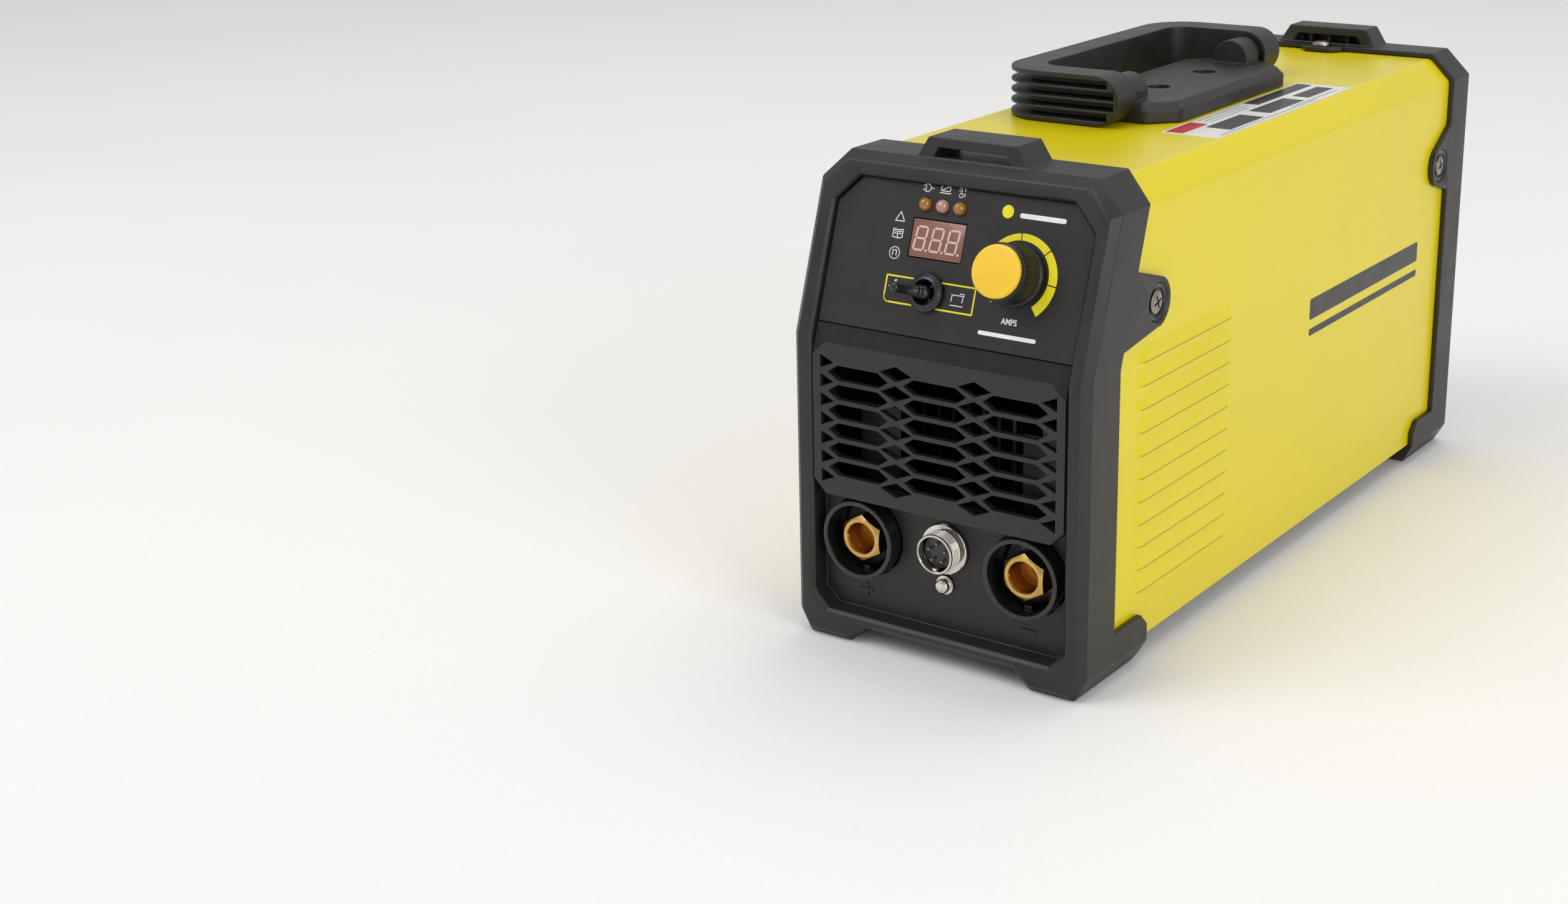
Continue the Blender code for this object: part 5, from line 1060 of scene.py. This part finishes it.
@dataclass
class RearEnd:
    """Rear moulding with its fan, power switch and cable gland."""
    gland: Spot = (33.0, 150.0)
    gland_radius: float = 8.5
    tab_depth: float = 14.0
    slot: Spot = (16.5, 3.6)
    ribs: tuple[float, ...] = (-9.0, 0.0, 9.0)
    tab_back: float = 2.5
    rib_half: float = 0.6
    web: Spot = (0.45, 0.6)

    def build(self) -> None:
        """Make the rear moulding and what shows through and on it."""
        softened("rear_bezel", "rear_moulding", Stock.TEXTURED_ABS, radius=0.5, shortest=2.0)
        softened("power_switch_body", "power_switch_frame", Stock.GLOSS_NYLON, radius=0.35)
        softened("power_rocker", "power_rocker_key", Stock.GLOSS_NYLON, "rocker", radius=0.35, shortest=1.0)
        softened("fan_rotor", "fan_wheel", Stock.GLOSS_NYLON, "fan", radius=0.25, shortest=3.0)
        softened("fan_frame", "fan_housing", Stock.TEXTURED_ABS, radius=0.3, shortest=3.0)
        self.cable_gland()
        self.tab_ribs()

    def tab_ribs(self) -> None:
        """The web and the stiffening ribs inside the rear strap tab."""
        depth, low = self.tab_depth, BODY.top + BODY.fit
        place = standing(Axis.REAR, 0, (BODY.rear - self.tab_back - depth) * MM,
                (low + self.slot[1] / 2) * MM)
        tall = self.slot[1] / 2 + 0.3
        wide = self.slot[0]
        parts = [slab([(-wide, -tall), (wide, -tall), (wide - 2, tall), (2 - wide, tall)], place,
                depth * self.web[0], depth * self.web[1])]
        for across in self.ribs:
            parts.append(slab(corners(across - self.rib_half, -tall, across + self.rib_half, tall), place,
                    1.0, depth * 0.5, 0.1))
        publish("rear_tab_ribs", joined(parts), Stock.TEXTURED_ABS)

    def cable_gland(self) -> None:
        """The strain relief: a hexagonal flange and a ribbed tapering nose."""
        r = self.gland_radius
        place = standing(Axis.REAR, self.gland[0] * MM, (BODY.rear - 5.0) * MM, self.gland[1] * MM)
        profile = [(4.5, -12.5), (r, -12.5), (r, 0.4), (r + 3.3, 0.4), (r + 3.5, 0.6), (r + 3.5, 5.8),
                (r + 3.2, 6.1), (r + 1.0, 6.9)]
        for rib in range(5):
            base = 7.4 + rib * 1.9
            out = r + 0.6 - rib * 0.45
            profile += [(out, base), (out, base + 0.9), (out - 0.7, base + 1.1), (out - 0.7, base + 1.7)]
        profile += [(r - 2.0, 18.0), (r - 2.3, 18.8), (r - 2.9, 19.0), (4.7, 19.0), (4.5, 18.8), (4.5, -12.5)]
        bm = spun(profile, Matrix.Identity(4), 72)
        flat = (r + 2.9) * MM
        for vert in bm.verts:
            if 0.3 * MM < vert.co.z < 6.2 * MM and vert.co.xy.length > flat:
                angle = atan2(vert.co.y, vert.co.x) % (pi / 3) - pi / 6
                limit = max(flat / cos(angle), flat)
                vert.co.xy *= min(1.0, limit / vert.co.xy.length)
        bmesh.ops.transform(bm, matrix=place, verts=bm.verts)
        publish("cable_gland_nose", bm, Stock.RUBBER, stands_for=("mains_cable_gland",), smooth=30)


@dataclass
class CarryHandle:
    """Swing handle with its channel and fins, and the plate that carries it."""
    edge: float = 0.4
    corner: float = 2.2

    def build(self) -> None:
        """Make the handle and its base plate."""
        softened("carry_handle", "swing_handle", Stock.TEXTURED_ABS, "handle", radius=self.edge, shortest=0.9)
        softened("handle_base", "handle_base_plate", Stock.TEXTURED_ABS, radius=self.edge, shortest=1.0,
                corner=self.corner)


@dataclass
class Inside:
    """Finishes of the CAD pieces that stay as they are."""
    dressed: tuple[tuple[Finish, str], ...] = (
            (Stock.GLOSS_NYLON, "display_module toggle_switch_body mains_gland_nut"),
            (Stock.SOLDER_MASK, "control_board main_board"),
            (Stock.ZINC_STEEL, "potentiometer potentiometer_shaft handle_pin_front handle_pin_rear"),
            (Stock.SLEEVED_BAR, "positive_bus_bar negative_bus_bar"),
            (Stock.BRIGHT_NICKEL, "remote_socket_nut"), (Stock.SHEET_ZINC, "base_tray"),
            (Stock.EXTRUDED_ALUMINIUM, "primary_heatsink secondary_heatsink"),
            (Stock.SINTERED_FERRITE, "transformer_core"),
            (Stock.MAGNET_WIRE, "transformer_winding output_inductor"),
            (Stock.CAP_SLEEVE, "reservoir_capacitor_1 reservoir_capacitor_2"),
            (Stock.TURNED_BRASS, "positive_socket_nut negative_socket_nut board_post_front_left "
                    "board_post_front_right board_post_rear_left board_post_rear_right"))

    def build(self) -> None:
        """Give each kept CAD node its finish."""
        for finish, names in self.dressed:
            for name in names.split():
                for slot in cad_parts[name].material_slots:
                    slot.material = finish.material()
                LOG.info("%s keeps its CAD shape: %s", name, finish.name)


@dataclass
class Studio:
    """Plain pale floor, soft lights and the camera."""
    yaw: float = radians(36.755)
    pitch: float = radians(17.190)
    roll: float = radians(1.220)
    position: tuple[float, float, float] = (423.37, -842.10, 359.12)
    focal: float = 3614.4
    image_width: float = 2525.0
    shift: Spot = (0.0, -0.05)
    surround: float = 0.6
    boxes: tuple[tuple[str, tuple[float, float, float], float, float], ...] = (
            ("key_softbox", (-0.9, -1.3, 1.9), 1.2, 16.0), ("side_softbox", (2.1, -0.9, 0.9), 1.3, 19.0),
            ("top_softbox", (0.1, 0.7, 2.1), 1.4, 10.0))

    def floor(self) -> None:
        """A wide sheet of pale paper under the machine."""
        bm = bmesh.new()
        bmesh.ops.create_grid(bm, x_segments=2, y_segments=2, size=15.0)
        mesh = bpy.data.meshes.new("studio_floor")
        bm.to_mesh(mesh)
        bm.free()
        mesh.materials.append(Stock.FLOOR.material())
        sheet = linked("studio_floor", mesh)

    def lights(self) -> None:
        """Three soft boxes and an even surround."""
        for name, place, size, power in self.boxes:
            light = bpy.data.lights.new(name, "AREA")
            light.size, light.energy = size, power
            lamp = linked(name, light)
            lamp.location = place
            lamp.rotation_mode = "QUATERNION"
            lamp.rotation_quaternion = (Vector((0, 0, 0.1)) - Vector(place)).to_track_quat("-Z", "Y")
        world = bpy.data.worlds.new("studio")
        world.use_nodes = True
        sky = world.node_tree.nodes["Background"].inputs
        sky["Color"].default_value, sky["Strength"].default_value = (1.0, 1.0, 1.0, 1.0), self.surround
        bpy.context.scene.world = world
        bpy.context.scene.view_settings.view_transform = "Standard"

    def camera(self) -> None:
        """The camera, turned by its yaw, pitch and roll."""
        forward = Vector((-sin(self.yaw), cos(self.yaw), 0))
        right = Vector((cos(self.yaw), sin(self.yaw), 0))
        down = Vector((0, 0, -1))
        ahead = forward * cos(self.pitch) + down * sin(self.pitch)
        under = down * cos(self.pitch) - forward * sin(self.pitch)
        across = right * cos(self.roll) + under * sin(self.roll)
        below = under * cos(self.roll) - right * sin(self.roll)
        lens = bpy.data.cameras.new("camera")
        lens.sensor_width = 36.0
        lens.lens = 36.0 * self.focal / self.image_width
        lens.shift_x, lens.shift_y = self.shift
        lens.clip_start, lens.clip_end = 0.01, 50.0
        eye = linked("camera", lens)
        turned = Matrix((across, -below, -ahead)).transposed().to_4x4()
        eye.matrix_world = Matrix.Translation(Vector(self.position) * MM) @ turned
        bpy.context.scene.camera = eye

    def build(self) -> None:
        """Make the studio."""
        self.floor()
        self.lights()
        self.camera()


def main() -> None:
    """Build the machine's looks in order."""
    logging.basicConfig(level=logging.INFO, format="%(name)s: %(message)s")
    for assembly in (Studio(), FrontMoulding(), Lamp(), Display(), Knob(), Toggle(), Print(), OutputSocket(),
            RemoteSocket(), Cover(), Screws(), RearEnd(), CarryHandle(), Inside()):
        assembly.build()


if __name__ == "__main__":
    main()
